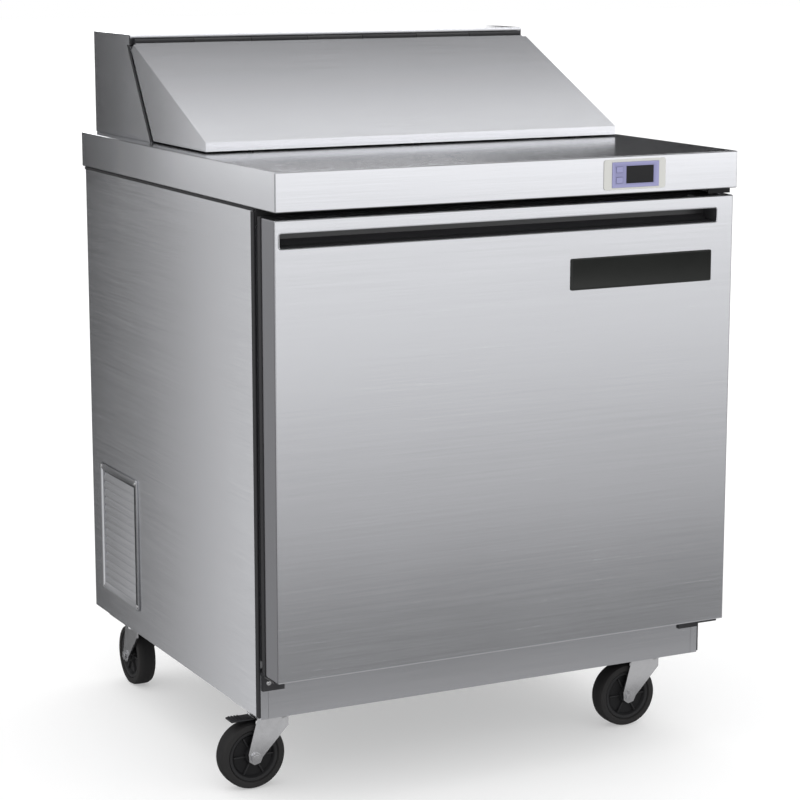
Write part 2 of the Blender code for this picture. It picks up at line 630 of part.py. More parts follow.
def make_cabinet():
    z = (CABINET_BOTTOM, CABINET_TOP)
    for name, side in (("side_panel_left", -1), ("side_panel_right", 1)):
        outer = CABINET_HALF * side
        inner = (CABINET_HALF - SHEET) * side
        lip = (CABINET_HALF - 0.0115) * side
        outline = [
            (outer, CABINET_FRONT),
            (outer, CABINET_REAR),
            (inner, CABINET_REAR),
            (inner, CABINET_FRONT + SHEET),
            (lip, CABINET_FRONT + SHEET),
            (lip, CABINET_FRONT),
        ]
        panel = add_outline(name, "XY", outline, z, STEEL)
        if side < 0:
            cut(panel, add_box("vent_opening", (-HALF - 0.01, -CABINET_HALF + 0.01),
                               (VENT_DEPTH[0] + 0.013, VENT_DEPTH[1] - 0.013),
                               (VENT_HEIGHT[0] + 0.013, VENT_HEIGHT[1] - 0.013), STEEL))

    slots = 9
    pitch = (VENT_HEIGHT[1] - VENT_HEIGHT[0] - 0.030) / slots
    holes = []
    for index in range(slots):
        low = VENT_HEIGHT[0] + 0.015 + (index + 0.2) * pitch
        holes.append(rectangle(VENT_DEPTH[0] + 0.016, VENT_DEPTH[1] - 0.016, low, low + 0.6 * pitch))
    add_outline("side_grille", "YZ", rectangle(*VENT_DEPTH, *VENT_HEIGHT),
                (-HALF + 0.0002, -CABINET_HALF - GAP), STEEL, holes)

    face = CABINET_HALF - 0.0115 - GAP
    add_outline("front_frame", "XZ", rectangle(-face, face, *z), (CABINET_FRONT, CABINET_FRONT + 0.0015), STEEL,
                [rectangle(-0.322, 0.322, LINER_FLOOR + 0.002, 0.812)])

    vents = []
    for index in range(8):
        low = 0.175 + index * 0.026
        vents.append(rectangle(-0.22, 0.22, low, low + 0.012))
    add_outline("rear_panel", "XZ", rectangle(-CABINET_HALF, CABINET_HALF, *z),
                (CABINET_REAR + GAP, CABINET_REAR + GAP + SHEET), GALVANISED, vents)

    inside = CABINET_HALF - SHEET - 0.0004
    tray_depth = (LINER_FRONT, CABINET_REAR - 0.002)
    tray = add_box("base_tray", (-inside, inside), tray_depth, (CABINET_BOTTOM, CABINET_BOTTOM + 0.031), GALVANISED)
    wall = 0.0015
    cut(tray, add_box("tray_inside", (-inside + wall, inside - wall), (tray_depth[0] + wall, tray_depth[1] - wall),
                      (CABINET_BOTTOM + wall, CABINET_BOTTOM + 0.05), GALVANISED))

    liner = add_outline("inner_liner", "YZ", liner_outline(0.0, 0.0), (-LINER_HALF, LINER_HALF), ALUMINIUM)
    space = LINER_HALF - LINER_WALL
    cut(
        liner,
        add_outline("liner_space", "YZ", liner_outline(LINER_WALL, 0.02), (-space, space), ALUMINIUM),
        add_box("liner_well", (-0.3265, 0.3265), (WELL_FRONT + 0.0045, WELL_REAR - 0.0045),
                (LINER_TOP - 0.01, LINER_TOP + 0.01), ALUMINIUM),
    )
    for side in (-1, 1):
        limits = sorted((0.306 * side, (space + 0.0005) * side))
        join(liner, add_box(f"shelf_ledge_{side}", limits, (0.110, 0.500), (SHELF_LEVEL - 0.008, SHELF_LEVEL - GAP),
                            ALUMINIUM))

    foam = add_box("cabinet_insulation", (-inside, inside), tray_depth,
                   (CABINET_BOTTOM + 0.0314, LINER_TOP), FOAM)
    room = LINER_HALF + 0.0004
    cut(
        foam,
        add_outline("insulation_space", "YZ", liner_outline(-0.0004, 0.02), (-room, room), FOAM),
        add_box("insulation_top", (-room, room), (LINER_FRONT - 0.02, LINER_REAR + 0.0004),
                (LINER_TOP - 0.02, LINER_TOP + 0.02), FOAM),
        add_box("machine_space", (-HALF, HALF), (LINER_SHORT_REAR + 0.014, DEPTH), (0.10, LINER_STEP - 0.015), FOAM),
    )


def liner_outline(inset, forward):
    """The stepped side outline of the refrigerated space, inset by a wall and run out past the front."""
    front = LINER_FRONT - forward
    return [
        (front, LINER_FLOOR + inset),
        (LINER_SHORT_REAR - inset, LINER_FLOOR + inset),
        (LINER_SHORT_REAR - inset, LINER_STEP + inset),
        (LINER_REAR - inset, LINER_STEP + inset),
        (LINER_REAR - inset, LINER_TOP - inset),
        (front, LINER_TOP - inset),
    ]


def make_shelf():
    half = 0.315
    depth = (0.092, 0.560)
    border = 0.006
    columns = 20
    pitch = (2 * half - border) / columns
    middle = (depth[0] + depth[1]) / 2
    holes = []
    for index in range(columns):
        low = -half + border + index * pitch
        high = low + pitch - border
        holes.append(rectangle(low, high, depth[0] + border, middle - border / 2))
        holes.append(rectangle(low, high, middle + border / 2, depth[1] - border))
    add_outline("wire_shelf", "XY", rectangle(-half, half, *depth), (SHELF_LEVEL, SHELF_LEVEL + 0.005), ZINC, holes)


# ---------------------------------------------------------------- refrigeration
def make_fan(name, centre, axis, radius, depth, material):
    """A hub with pitched blades, on its own spin axis."""
    turn = AXIS_TURN[axis]
    hub = add_cylinder(name, radius * 0.25, (-depth, depth), (0.0, 0.0), "Z", material, 16)
    blades = 5
    for index in range(blades):
        angle = 2 * math.pi * index / blades
        bpy.ops.mesh.primitive_cube_add(size=1.0)
        blade = bpy.context.object
        blade.data.transform(Matrix.Diagonal((radius * 0.82, radius * 0.42, 0.0018, 1.0)))
        place = Matrix.Rotation(angle, 4, "Z") @ Matrix.Translation((radius * 0.59, 0, 0))
        blade.data.transform(place @ Matrix.Rotation(math.radians(24), 4, "X"))
        join(hub, finish(blade, f"{name}_blade_{index}", material))
    tools = [modifier.object for modifier in hub.modifiers]
    axis_empty = add_axis(f"{name}_axis", centre)
    for piece in (hub, *tools):
        piece.matrix_world = Matrix.Translation(centre) @ turn
    hang(axis_empty, hub)


def make_evaporator():
    fan_z = (COVER_Z[0] + COVER_Z[1]) / 2
    rear = LINER_REAR - LINER_WALL - 0.001
    cover = add_box("evaporator_cover", (-COVER_HALF, COVER_HALF), (COVER_FRONT, rear), COVER_Z,
                    WHITE_PLASTIC, bevel=0.003)
    cut(
        cover,
        add_box("cover_inside", (-COVER_HALF + COVER_WALL, COVER_HALF - COVER_WALL),
                (COVER_FRONT + COVER_WALL, rear + 0.01), (COVER_Z[0] + COVER_WALL, COVER_Z[1] - COVER_WALL),
                WHITE_PLASTIC),
        add_cylinder("cover_mouth", 0.062, (at_depth(COVER_FRONT - 0.01), at_depth(COVER_FRONT + 0.01)),
                     (0.0, fan_z), "Y", WHITE_PLASTIC, 32),
    )
    room = 0.008
    coil = add_box("evaporator_coil", (-0.225, 0.225), (0.662, rear - 0.001),
                   (COVER_Z[0] + room, COVER_Z[1] - room), ALUMINIUM)
    gaps = 14
    pitch = 0.42 / (gaps - 1)
    for index in range(gaps):
        x = -0.210 + index * pitch
        cut(coil, add_box(f"coil_gap_{index}", (x - 0.004, x + 0.004), (0.650, 0.690),
                          (COVER_Z[0] + 2 * room, COVER_Z[1] - 2 * room), ALUMINIUM))
    make_fan("evaporator_fan", (0.0, at_depth(EVAPORATOR_FAN_DEPTH), fan_z), "Y", 0.056, 0.010, BLACK_PLASTIC)


def make_compressor(floor):
    x, depth = COMPRESSOR_CENTRE
    body = add_cylinder("compressor", COMPRESSOR_RADIUS, (floor + 0.012, floor + COMPRESSOR_HEIGHT),
                        (x, at_depth(depth)), "Z", BLACK_PAINT, 24, bevel=0.018)
    foot = 0.075
    join(body, add_box("compressor_foot", (x - foot, x + foot), (depth - foot, depth + foot),
                       (floor, floor + 0.014), BLACK_PAINT))
    y = at_depth(depth)
    corner = 0.02
    end_y = at_depth(CONDENSER_DEPTH[0] + 0.012)
    route = [
        Vector((x, y, floor + COMPRESSOR_HEIGHT + 0.0005)),
        Vector((x, y, PIPE_LEVEL - corner)),
        Vector((x - 0.3 * corner, y, PIPE_LEVEL - 0.3 * corner)),
        Vector((x - corner, y, PIPE_LEVEL)),
        Vector((-0.180, y, PIPE_LEVEL)),
        Vector((-0.235, end_y, PIPE_LEVEL)),
        Vector((CONDENSER_X[1] + 0.0005, end_y, PIPE_LEVEL - 0.005)),
    ]
    add_tube("refrigerant_pipe", route, 0.004, COPPER)


def make_condenser(floor):
    fan_x, fan_depth, fan_height = CONDENSER_FAN_CENTRE
    low_x, high_x = CONDENSER_X
    margin = 0.008
    condenser = add_box("condenser", CONDENSER_X, CONDENSER_DEPTH, (floor, CONDENSER_TOP), ALUMINIUM)
    for index in range(9):
        z = 0.160 + index * 0.0235
        cut(condenser, add_box(f"condenser_gap_{index}", (low_x - 0.005, high_x - margin),
                               (CONDENSER_DEPTH[0] + margin, CONDENSER_DEPTH[1] - margin), (z, z + 0.009),
                               ALUMINIUM))
    post = 0.012
    foot = 0.030
    join(
        condenser,
        add_box("motor_foot", (high_x - 0.001, MOTOR_X + post), (fan_depth - foot, fan_depth + foot),
                (floor, floor + 0.003), ALUMINIUM),
        add_box("motor_post", (MOTOR_X - post, MOTOR_X + post), (fan_depth - post, fan_depth + post),
                (floor, fan_height), ALUMINIUM),
        add_cylinder("motor_can", 0.030, (MOTOR_X - 0.022, MOTOR_X + 0.022), (at_depth(fan_depth), fan_height),
                     "X", ALUMINIUM, 20),
    )
    make_fan("condenser_fan", (fan_x, at_depth(fan_depth), fan_height), "X", 0.072, 0.010, ALUMINIUM)


def make_gland():
    gland = add_cylinder("cord_gland", 0.012, (at_depth(CABINET_REAR + 0.0018), at_depth(DEPTH + GLAND_PROUD)),
                         GLAND_CENTRE, "Y", BLACK_PLASTIC, 20)
    cut(gland, add_cylinder("gland_bore", 0.0045, (at_depth(CABINET_REAR), at_depth(DEPTH + 0.02)),
                            GLAND_CENTRE, "Y", BLACK_PLASTIC, 12))


def make_refrigeration():
    floor = CABINET_BOTTOM + 0.0015 + GAP
    make_evaporator()
    make_compressor(floor)
    make_condenser(floor)
    make_gland()


# ---------------------------------------------------------------- controller
def make_controller():
    x, z = CONTROL_CENTRE
    face_x, face_z = CONTROL_FACE[0] / 2, CONTROL_FACE[1] / 2
    body_x, body_z = CONTROL_BODY[0] / 2, CONTROL_BODY[1] / 2
    bezel = add_box("controller_bezel", (x - face_x, x + face_x), (-CONTROL_PROUD, -GAP),
                    (z - face_z, z + face_z), BEZEL_GREY)
    join(bezel, add_box("controller_case", (x - body_x, x + body_x), (-CONTROL_PROUD + 0.0005, 0.045),
                        (z - body_z, z + body_z), BEZEL_GREY))
    window_x = (x - 0.0160, x + 0.0300)
    window_z = (z - 0.0125, z + 0.0125)
    cut(bezel, add_box("window_pocket", window_x, (-0.01, 0.0020), window_z, BEZEL_GREY))
    add_box("controller_display", (window_x[0] + GAP, window_x[1] - GAP), (-CONTROL_PROUD + 0.0003, 0.0017),
            (window_z[0] + GAP, window_z[1] - GAP), DISPLAY_BLACK)
    half_x, half_z = BUTTON_SIZE[0] / 2, BUTTON_SIZE[1] / 2
    room = 0.0004
    for name, rise in (("button_upper", BUTTON_RISE), ("button_lower", -BUTTON_RISE)):
        centre = z + rise
        cut(bezel, add_box(f"{name}_pocket", (BUTTON_X - half_x - room, BUTTON_X + half_x + room), (-0.01, 0.0055),
                           (centre - half_z - room, centre + half_z + room), BEZEL_GREY))
        add_box(name, (BUTTON_X - half_x, BUTTON_X + half_x), (-BUTTON_PROUD, 0.0040),
                (centre - half_z, centre + half_z), WHITE_PLASTIC)


# ---------------------------------------------------------------- casters
def local_box(name, x, y, z, material):
    """A box in a caster's own frame, where y is measured from the wheel's middle."""
    return add_box(name, x, (y[0] + DEPTH / 2, y[1] + DEPTH / 2), z, material)


def make_caster(name, x, depth, heading, brake):
    """Plate on the cabinet, a swivelling fork whose wheel trails towards heading, and the wheel."""
    place = Vector((x, at_depth(depth), 0.0))
    crown_top = 0.1080
    plate = local_box(f"caster_plate_{name}", (-0.046, 0.046), (-0.034, 0.034), (0.1225, CASTER_HEIGHT), ZINC)
    join(plate, add_cylinder(f"raceway_{name}", 0.024, (crown_top + 0.0005, 0.1230), (0, 0), "Z", ZINC, 24))
    for piece in (plate, *[modifier.object for modifier in plate.modifiers]):
        piece.location += place

    fork = local_box(f"caster_fork_{name}", (-0.022, 0.029), (-0.0200, 0.0200), (0.1045, crown_top - 0.0005), ZINC)
    join(fork, add_cylinder(f"crown_{name}", 0.0265, (0.1045, crown_top), (0, 0), "Z", ZINC, 24))
    boss = WHEEL_RADIUS
    leg = [(-0.020, crown_top - 0.001), (0.029, crown_top - 0.001), (TRAIL + 0.011, boss + 0.006)]
    for step in range(5):
        angle = math.radians(20 - 50 * step)
        leg.append((TRAIL + 0.0115 * math.cos(angle), boss + 0.0115 * math.sin(angle)))
    leg.append((-0.020, 0.092))
    for side in (-1, 1):
        middle = 0.0185 * side + DEPTH / 2
        join(fork, add_outline(f"leg_{name}_{side}", "XZ", leg, (middle - 0.0015, middle + 0.0015), ZINC))
    join(
        fork,
        add_cylinder(f"axle_{name}", 0.0045, (-0.024, 0.024), (TRAIL, boss), "Y", ZINC, 12),
        add_cylinder(f"nut_{name}", 0.0080, (0.0195, 0.0235), (TRAIL, boss), "Y", ZINC, 6),
        add_cylinder(f"head_{name}", 0.0080, (-0.0235, -0.0195), (TRAIL, boss), "Y", ZINC, 6),
    )

    width = (-WHEEL_HALF_WIDTH, WHEEL_HALF_WIDTH)
    tyre = add_cylinder(f"tyre_{name}", WHEEL_RADIUS, width, (TRAIL, boss), "Y", BLACK_RUBBER, 36, bevel=0.006)
    cut(tyre, add_cylinder(f"tyre_bore_{name}", HUB_RADIUS + GAP, (-0.02, 0.02), (TRAIL, boss), "Y", ZINC, 36))
    hub = add_cylinder(f"hub_{name}", HUB_RADIUS, (-0.013, 0.013), (TRAIL, boss), "Y", BLACK_PLASTIC, 36)
    cut(hub, add_cylinder(f"hub_bore_{name}", 0.0049, (-0.02, 0.02), (TRAIL, boss), "Y", ZINC, 12))

    swivel = add_axis(f"swivel_axis_{name}", place, heading)
    wheel_axis = add_axis(f"wheel_axis_{name}", (TRAIL, 0.0, WHEEL_RADIUS), 0.0, swivel)
    turned = [fork, tyre, hub]
    if brake:
        pedal = local_box(f"brake_pedal_{name}", (0.0300, 0.0660), (-0.0120, 0.0120), (0.1035, 0.1080), BLACK_PLASTIC)
        turned.append(pedal)
    turn = Matrix.Translation(place) @ Matrix.Rotation(heading, 4, "Z")
    for obj in turned:
        for piece in (obj, *[modifier.object for modifier in obj.modifiers if modifier.type == "BOOLEAN"]):
            piece.matrix_world = turn @ piece.matrix_world
    hang(swivel, fork)
    hang(wheel_axis, tyre, hub)
    if brake:
        pedal_axis = add_axis(f"pedal_axis_{name}", (0.0300, 0.0, 0.1058), 0.0, swivel)
        hang(pedal_axis, pedal)


def make_casters():
    make_caster("front_left", -SWIVEL_X, FRONT_SWIVEL, math.radians(180), True)
    make_caster("front_right", SWIVEL_X, FRONT_SWIVEL, math.radians(180), True)
    make_caster("rear_left", -SWIVEL_X, REAR_SWIVEL, math.radians(90), False)
    make_caster("rear_right", SWIVEL_X, REAR_SWIVEL, 0.0, False)


make_counter()
make_pans()
make_hood()
make_hinge()
make_lid()
make_door()
make_brackets()
make_cabinet()
make_shelf()
make_refrigeration()
make_controller()
make_casters()
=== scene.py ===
"""Looks of the refrigerated sandwich prep table: materials, fine pieces, studio and camera."""
import json
import math

import bmesh
import bpy
from mathutils import Matrix, Vector


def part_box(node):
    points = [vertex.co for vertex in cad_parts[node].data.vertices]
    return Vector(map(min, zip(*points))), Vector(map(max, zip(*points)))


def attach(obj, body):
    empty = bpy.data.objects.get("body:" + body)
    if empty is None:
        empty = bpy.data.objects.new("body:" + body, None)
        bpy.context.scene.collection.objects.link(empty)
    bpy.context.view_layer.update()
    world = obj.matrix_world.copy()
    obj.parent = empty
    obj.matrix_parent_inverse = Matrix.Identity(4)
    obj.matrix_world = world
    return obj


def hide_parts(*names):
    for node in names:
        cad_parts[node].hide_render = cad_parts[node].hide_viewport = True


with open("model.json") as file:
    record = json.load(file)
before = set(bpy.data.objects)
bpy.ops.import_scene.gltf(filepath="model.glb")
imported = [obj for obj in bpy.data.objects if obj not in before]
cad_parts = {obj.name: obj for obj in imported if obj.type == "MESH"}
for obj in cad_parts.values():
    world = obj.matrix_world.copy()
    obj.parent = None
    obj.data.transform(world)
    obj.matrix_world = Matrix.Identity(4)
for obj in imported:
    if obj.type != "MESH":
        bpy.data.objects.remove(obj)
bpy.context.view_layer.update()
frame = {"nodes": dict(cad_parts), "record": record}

NODES = frame["nodes"]
SCENE = bpy.context.scene

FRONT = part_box("counter_top")[0][1]
JOINTS = {joint["name"]: joint for joint in frame["record"]["behaviour"]["joints"]}
LID_HINGE = JOINTS["lid_hinge"]["pos_m"]
# The clearance left between neighbouring pieces.
GAP = 0.0003
CORNERS = ("front_left", "front_right", "rear_left", "rear_right")


def back(depth):
    """World Y of a distance behind the counter's front edge."""
    return FRONT + depth


# ---------------------------------------------------------------- material helpers
class Builder:
    """A node-based material, made step by step."""

    def __init__(self, name, colour, roughness, metallic=0.0):
        self.material = bpy.data.materials.new(name)
        self.material.use_nodes = True
        self.tree = self.material.node_tree
        self.shader = self.tree.nodes["Principled BSDF"]
        self.set("Base Color", (*colour, 1.0))
        self.set("Roughness", roughness)
        self.set("Metallic", metallic)
        self.normal = None

    def set(self, socket, value):
        self.shader.inputs[socket].default_value = value

    def node(self, kind, **values):
        node = self.tree.nodes.new(kind)
        for name, value in values.items():
            setattr(node, name, value)
        return node

    def link(self, source, target):
        self.tree.links.new(source, target)

    def place(self, scale):
        """Object coordinates, stretched by a scale along each axis."""
        coordinates = self.node("ShaderNodeTexCoord")
        mapping = self.node("ShaderNodeMapping")
        mapping.inputs["Scale"].default_value = scale
        self.link(coordinates.outputs["Object"], mapping.inputs["Vector"])
        return mapping.outputs["Vector"]

    def split(self):
        """Object coordinates, apart."""
        coordinates = self.node("ShaderNodeTexCoord")
        split = self.node("ShaderNodeSeparateXYZ")
        self.link(coordinates.outputs["Object"], split.inputs[0])
        return split.outputs

    def noise(self, scale, stretch=(1.0, 1.0, 1.0), detail=3.0, rough=0.55):
        texture = self.node("ShaderNodeTexNoise")
        texture.inputs["Scale"].default_value = scale
        texture.inputs["Detail"].default_value = detail
        texture.inputs["Roughness"].default_value = rough
        self.link(self.place(stretch), texture.inputs["Vector"])
        return texture.outputs["Fac"]

    def voronoi(self, scale, feature="F1", output="Distance"):
        texture = self.node("ShaderNodeTexVoronoi", feature=feature)
        texture.inputs["Scale"].default_value = scale
        self.link(self.place((1.0, 1.0, 1.0)), texture.inputs["Vector"])
        return texture.outputs[output]

    def spread(self, value, low, high, start=0.25, end=0.75):
        """Map a texture's value to a range."""
        ranger = self.node("ShaderNodeMapRange")
        ranger.inputs["From Min"].default_value = start
        ranger.inputs["From Max"].default_value = end
        ranger.inputs["To Min"].default_value = low
        ranger.inputs["To Max"].default_value = high
        self.link(value, ranger.inputs["Value"])
        return ranger.outputs["Result"]

    def maths(self, first, second, operation="ADD"):
        step = self.node("ShaderNodeMath", operation=operation)
        self.link(first, step.inputs[0])
        if isinstance(second, float):
            step.inputs[1].default_value = second
        else:
            self.link(second, step.inputs[1])
        return step.outputs["Value"]

    def roughen(self, value):
        self.link(value, self.shader.inputs["Roughness"])

    def tint(self, value, dark, light):
        """Base colour from dark, where a texture is 0, to light, where it is 1."""
        mix = self.node("ShaderNodeMix", data_type="RGBA")
        mix.inputs[6].default_value = (*dark, 1.0)
        mix.inputs[7].default_value = (*light, 1.0)
        self.link(value, mix.inputs[0])
        self.link(mix.outputs[2], self.shader.inputs["Base Color"])

    def bump(self, value, height):
        """Relief of a height in metres, on top of any relief made before."""
        bump = self.node("ShaderNodeBump")
        bump.inputs["Distance"].default_value = height
        self.link(value, bump.inputs["Height"])
        if self.normal is not None:
            self.link(self.normal, bump.inputs["Normal"])
        self.normal = bump.outputs["Normal"]
        self.link(self.normal, self.shader.inputs["Normal"])

    def near_axis(self, place, radius):
        """1 within a radius of a line along X through a place, 0 outside it."""
        along = self.split()
        squares = []
        for output, middle in (("Y", place[1]), ("Z", place[2])):
            offset = self.maths(along[output], float(middle), "SUBTRACT")
            squares.append(self.maths(offset, 2.0, "POWER"))
        return self.maths(self.maths(squares[0], squares[1]), radius * radius, "LESS_THAN")

    def beyond(self, reach):
        """1 further from the middle along X than a distance, 0 nearer."""
        square = self.maths(self.split()["X"], 2.0, "POWER")
        return self.maths(square, reach * reach, "GREATER_THAN")

    def change_where(self, factor, colour, roughness, metallic):
        """Another finish where factor is 1."""
        changes = (
            ("Base Color", (*colour, 1.0), "RGBA", 6),
            ("Roughness", roughness, "FLOAT", 2),
            ("Metallic", metallic, "FLOAT", 2),
        )
        for socket, value, kind, index in changes:
            target = self.shader.inputs[socket]
            if kind == "FLOAT" and not target.is_linked and target.default_value == value:
                continue
            mix = self.node("ShaderNodeMix", data_type=kind)
            if target.is_linked:
                self.link(target.links[0].from_socket, mix.inputs[index])
            else:
                mix.inputs[index].default_value = target.default_value
            mix.inputs[index + 1].default_value = value
            self.link(factor, mix.inputs[0])
            self.link(mix.outputs[2 if kind == "RGBA" else 0], target)

    def edge_wear(self, radius):
        """1 on corners and edges, 0 on open faces."""
        geometry = self.node("ShaderNodeNewGeometry")
        return self.spread(geometry.outputs["Pointiness"], 0.0, 1.0, 0.5, 0.5 + radius)


GRAIN = {"X": (0.012, 1.0, 1.0), "Y": (1.0, 0.012, 1.0), "Z": (1.0, 1.0, 0.012)}


def brushed(name, axis, shade=0.64, roughness=0.22):
    """Stainless sheet, brushed along one axis: fine scratches, broader streaks and faint wiping marks."""
    light = (shade - 0.006, shade, shade + 0.028)
    dark = tuple(channel * 0.97 for channel in light)
    steel = Builder(name, light, roughness, 1.0)
    fine = steel.noise(2600.0, GRAIN[axis], 2.0)
    streak = steel.noise(420.0, GRAIN[axis], 4.0, 0.6)
    cloud = steel.noise(3.2, (1.0, 1.0, 1.0), 3.0)
    level = steel.maths(steel.spread(fine, -0.035, 0.035), steel.spread(streak, -0.03, 0.03))
    level = steel.maths(level, steel.spread(cloud, -0.02, 0.02))
    steel.roughen(steel.maths(level, roughness))
    steel.tint(steel.spread(streak, 0.0, 1.0, 0.3, 0.7), dark, light)
    steel.bump(streak, 0.00002)
    steel.bump(fine, 0.00001)
    return steel


def plated(name, colour, roughness, mottled=0.04):
    """Bright zinc or nickel plate: a soft mottle and pitting."""
    plate = Builder(name, colour, roughness, 1.0)
    mottle = plate.noise(90.0, detail=4.0)
    plate.roughen(plate.spread(mottle, roughness - mottled, roughness + mottled * 2))
    plate.tint(plate.spread(mottle, 0.0, 1.0), tuple(c * 0.88 for c in colour), colour)
    plate.bump(plate.noise(700.0), 0.00002)
    return plate.material


def galvanised(name):
    """Zinc spangle: flat crystals, each with its own shine."""
    sheet = Builder(name, (0.55, 0.56, 0.57), 0.42, 1.0)
    crystal = sheet.voronoi(85.0, output="Color")
    sheet.roughen(sheet.spread(crystal, 0.38, 0.50, 0.0, 1.0))
    sheet.tint(sheet.spread(crystal, 0.0, 1.0, 0.0, 1.0), (0.50, 0.51, 0.52), (0.62, 0.63, 0.64))
    sheet.bump(sheet.noise(240.0), 0.00008)
    return sheet.material


def stucco(name):
    """Embossed aluminium sheet, with painted shade in the hollows of its dimples."""
    sheet = Builder(name, (0.72, 0.73, 0.74), 0.34, 1.0)
    dimple = sheet.voronoi(260.0, feature="SMOOTH_F1")
    sheet.roughen(sheet.spread(sheet.noise(12.0), 0.28, 0.40))
    # painted shade: each dimple's hollow is coloured darker than its rim
    sheet.tint(sheet.spread(dimple, 0.0, 1.0, 0.0, 0.6), (0.62, 0.63, 0.64), (0.76, 0.77, 0.78))
    sheet.bump(dimple, 0.0004)
    return sheet.material


def moulded(name, colour, roughness, texture=0.00006, scale=900.0, wear=None, gloss=0.5):
    """Moulded plastic or rubber with a fine skin and lighter, rubbed edges."""
    skin = Builder(name, colour, roughness)
    skin.set("Specular IOR Level", gloss)
    cloud = skin.noise(14.0, detail=4.0)
    grain = skin.noise(scale, detail=2.0)
    level = skin.maths(skin.spread(cloud, -0.05, 0.06), skin.spread(grain, -0.03, 0.03))
    skin.roughen(skin.maths(level, roughness))
    worn = wear or tuple(min(1.0, c * 1.25 + 0.01) for c in colour)
    amount = skin.maths(skin.edge_wear(0.08), skin.spread(cloud, 0.0, 0.35))
    skin.tint(amount, colour, worn)
    skin.bump(grain, texture)
    return skin.material


def foam(name):
    """Yellow insulating foam with fine cells."""
    body = Builder(name, (0.78, 0.68, 0.42), 0.9)
    cells = body.voronoi(900.0)
    body.tint(body.spread(body.noise(20.0), 0.0, 1.0), (0.62, 0.52, 0.30), (0.82, 0.73, 0.50))
    body.bump(cells, 0.0006)
    return body.material


def lid_steel():
    """The lid's sheet; its hinge knuckles, close round the hinge's axis, are black like the fixed leaf."""
    steel = brushed("lid_brushed", "X")
    steel.change_where(steel.near_axis(LID_HINGE, 0.0052), (0.012, 0.012, 0.014), 0.45, 0.0)
    return steel.material


def door_steel_shaded_sides():
    """The door's sheet; its side returns are rougher than its face and painted darker, as painted shade."""
    steel = brushed("door_brushed_shaded_sides", "X")
    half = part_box("door_shell")[1][0]
    # painted shade: the sides beyond the face's edge get a darker colour, as well as a higher roughness
    steel.change_where(steel.beyond(half - 0.0006), (0.31, 0.31, 0.33), 0.38, 1.0)
    return steel.material


MATERIALS = {
    "door": door_steel_shaded_sides(),
    "steel_x": brushed("steel_brushed_across", "X").material,
    "steel_y": brushed("steel_brushed_back", "Y").material,
    "lid": lid_steel(),
    "pan": brushed("pan_drawn", "Z", 0.66, 0.24).material,
    "zinc": plated("zinc_plate", (0.66, 0.66, 0.67), 0.24),
    "galvanised": galvanised("galvanised_sheet"),
    "stucco": stucco("stucco_aluminium"),
    "fin": plated("fin_aluminium", (0.70, 0.71, 0.72), 0.38),
    "copper": plated("copper_tube", (0.72, 0.36, 0.22), 0.26),
    "white": moulded("white_plastic", (0.60, 0.60, 0.585), 0.42),
    "black": moulded("black_plastic", (0.010, 0.010, 0.012), 0.45, gloss=0.25),
    "rubber": moulded("tyre_rubber", (0.008, 0.008, 0.009), 0.68, 0.00015, 600.0,
                      (0.024, 0.023, 0.023), 0.22),
    "gasket": moulded("gasket_vinyl", (0.010, 0.010, 0.012), 0.55, gloss=0.25),
    "enamel": moulded("black_enamel", (0.012, 0.012, 0.013), 0.28),
    "foam": foam("insulating_foam"),
    "bezel": moulded("controller_bezel", (0.20, 0.20, 0.36), 0.40),
    "fork": plated("fork_zinc", (0.80, 0.80, 0.82), 0.20, 0.015),
    "dark_zinc": plated("dark_zinc", (0.085, 0.085, 0.090), 0.34),
    "plate": moulded("controller_plate", (0.42, 0.42, 0.40), 0.42),
    # painted shade: the pull's recess is coloured near black
    "channel": moulded("pull_channel_shade", (0.044, 0.044, 0.048), 0.36),
    # painted shade: the near-black finish of the pieces that darken the gap under the counter
    "strip": moulded("gap_shade_black", (0.006, 0.006, 0.007), 0.60, gloss=0.2),
    "badge": moulded("badge_face", (0.007, 0.008, 0.007), 0.38, gloss=0.22),
    "hub": moulded("wheel_core", (0.007, 0.007, 0.008), 0.50, gloss=0.25),
    "display": moulded("display_window", (0.003, 0.003, 0.004), 0.14, 0.00001, gloss=0.14),
    "button": moulded("controller_key", (0.19, 0.19, 0.34), 0.42),
}

LOOKS = {
    "steel_x": ["counter_top", "hood", "front_frame", "pan_support_frame"],
    "lid": ["lid_skin"],
    "steel_y": ["side_panel_left", "side_panel_right", "side_grille"],
    "door": ["door_shell"],
    "zinc": ["wire_shelf"],
    "dark_zinc": ["hinge_bracket_top", "hinge_bracket_bottom", "door_rest_bracket"],
    "galvanised": ["rear_panel", "base_tray"],
    "stucco": ["inner_liner"],
    "fin": ["evaporator_coil", "condenser", "condenser_fan"],
    "white": ["well_liner", "lid_liner", "door_liner", "evaporator_cover"],
    "channel": ["door_handle_channel"],
    "black": ["hood_hinge", "door_badge", "cord_gland", "evaporator_fan"],
    "button": ["button_upper", "button_lower"],
    "foam": ["door_core", "cabinet_insulation"],
    "gasket": ["door_gasket"],
    "bezel": ["controller_bezel"],
    "display": ["controller_display"],
    "enamel": ["compressor"],
    "copper": ["refrigerant_pipe"],
}
LOOK_BY_START = {
    "food_pans": "pan",
    "caster_": "fork",
    "hub_": "black",
    "tyre_": "rubber",
    "brake_pedal": "black",
}


def paint(obj, look):
    """Give every slot of an object one material."""
    if not obj.data.materials:
        obj.data.materials.append(None)
    for index in range(len(obj.data.materials)):
        obj.data.materials[index] = MATERIALS[look]


def paint_nodes():
    """Give every node of the CAD model its look."""
    for look, names in LOOKS.items():
        for name in names:
            paint(NODES[name], look)
    for start, look in LOOK_BY_START.items():
        for name, obj in NODES.items():
            if name.startswith(start):
                paint(obj, look)


def soften(name, width):
    """A fine rounded edge on a CAD node."""
    bevel = NODES[name].modifiers.new("fine_edge", "BEVEL")
    bevel.width = width
    bevel.segments = 2
    bevel.limit_method = "ANGLE"
    bevel.angle_limit = math.radians(35)
    bevel.miter_outer = "MITER_ARC"


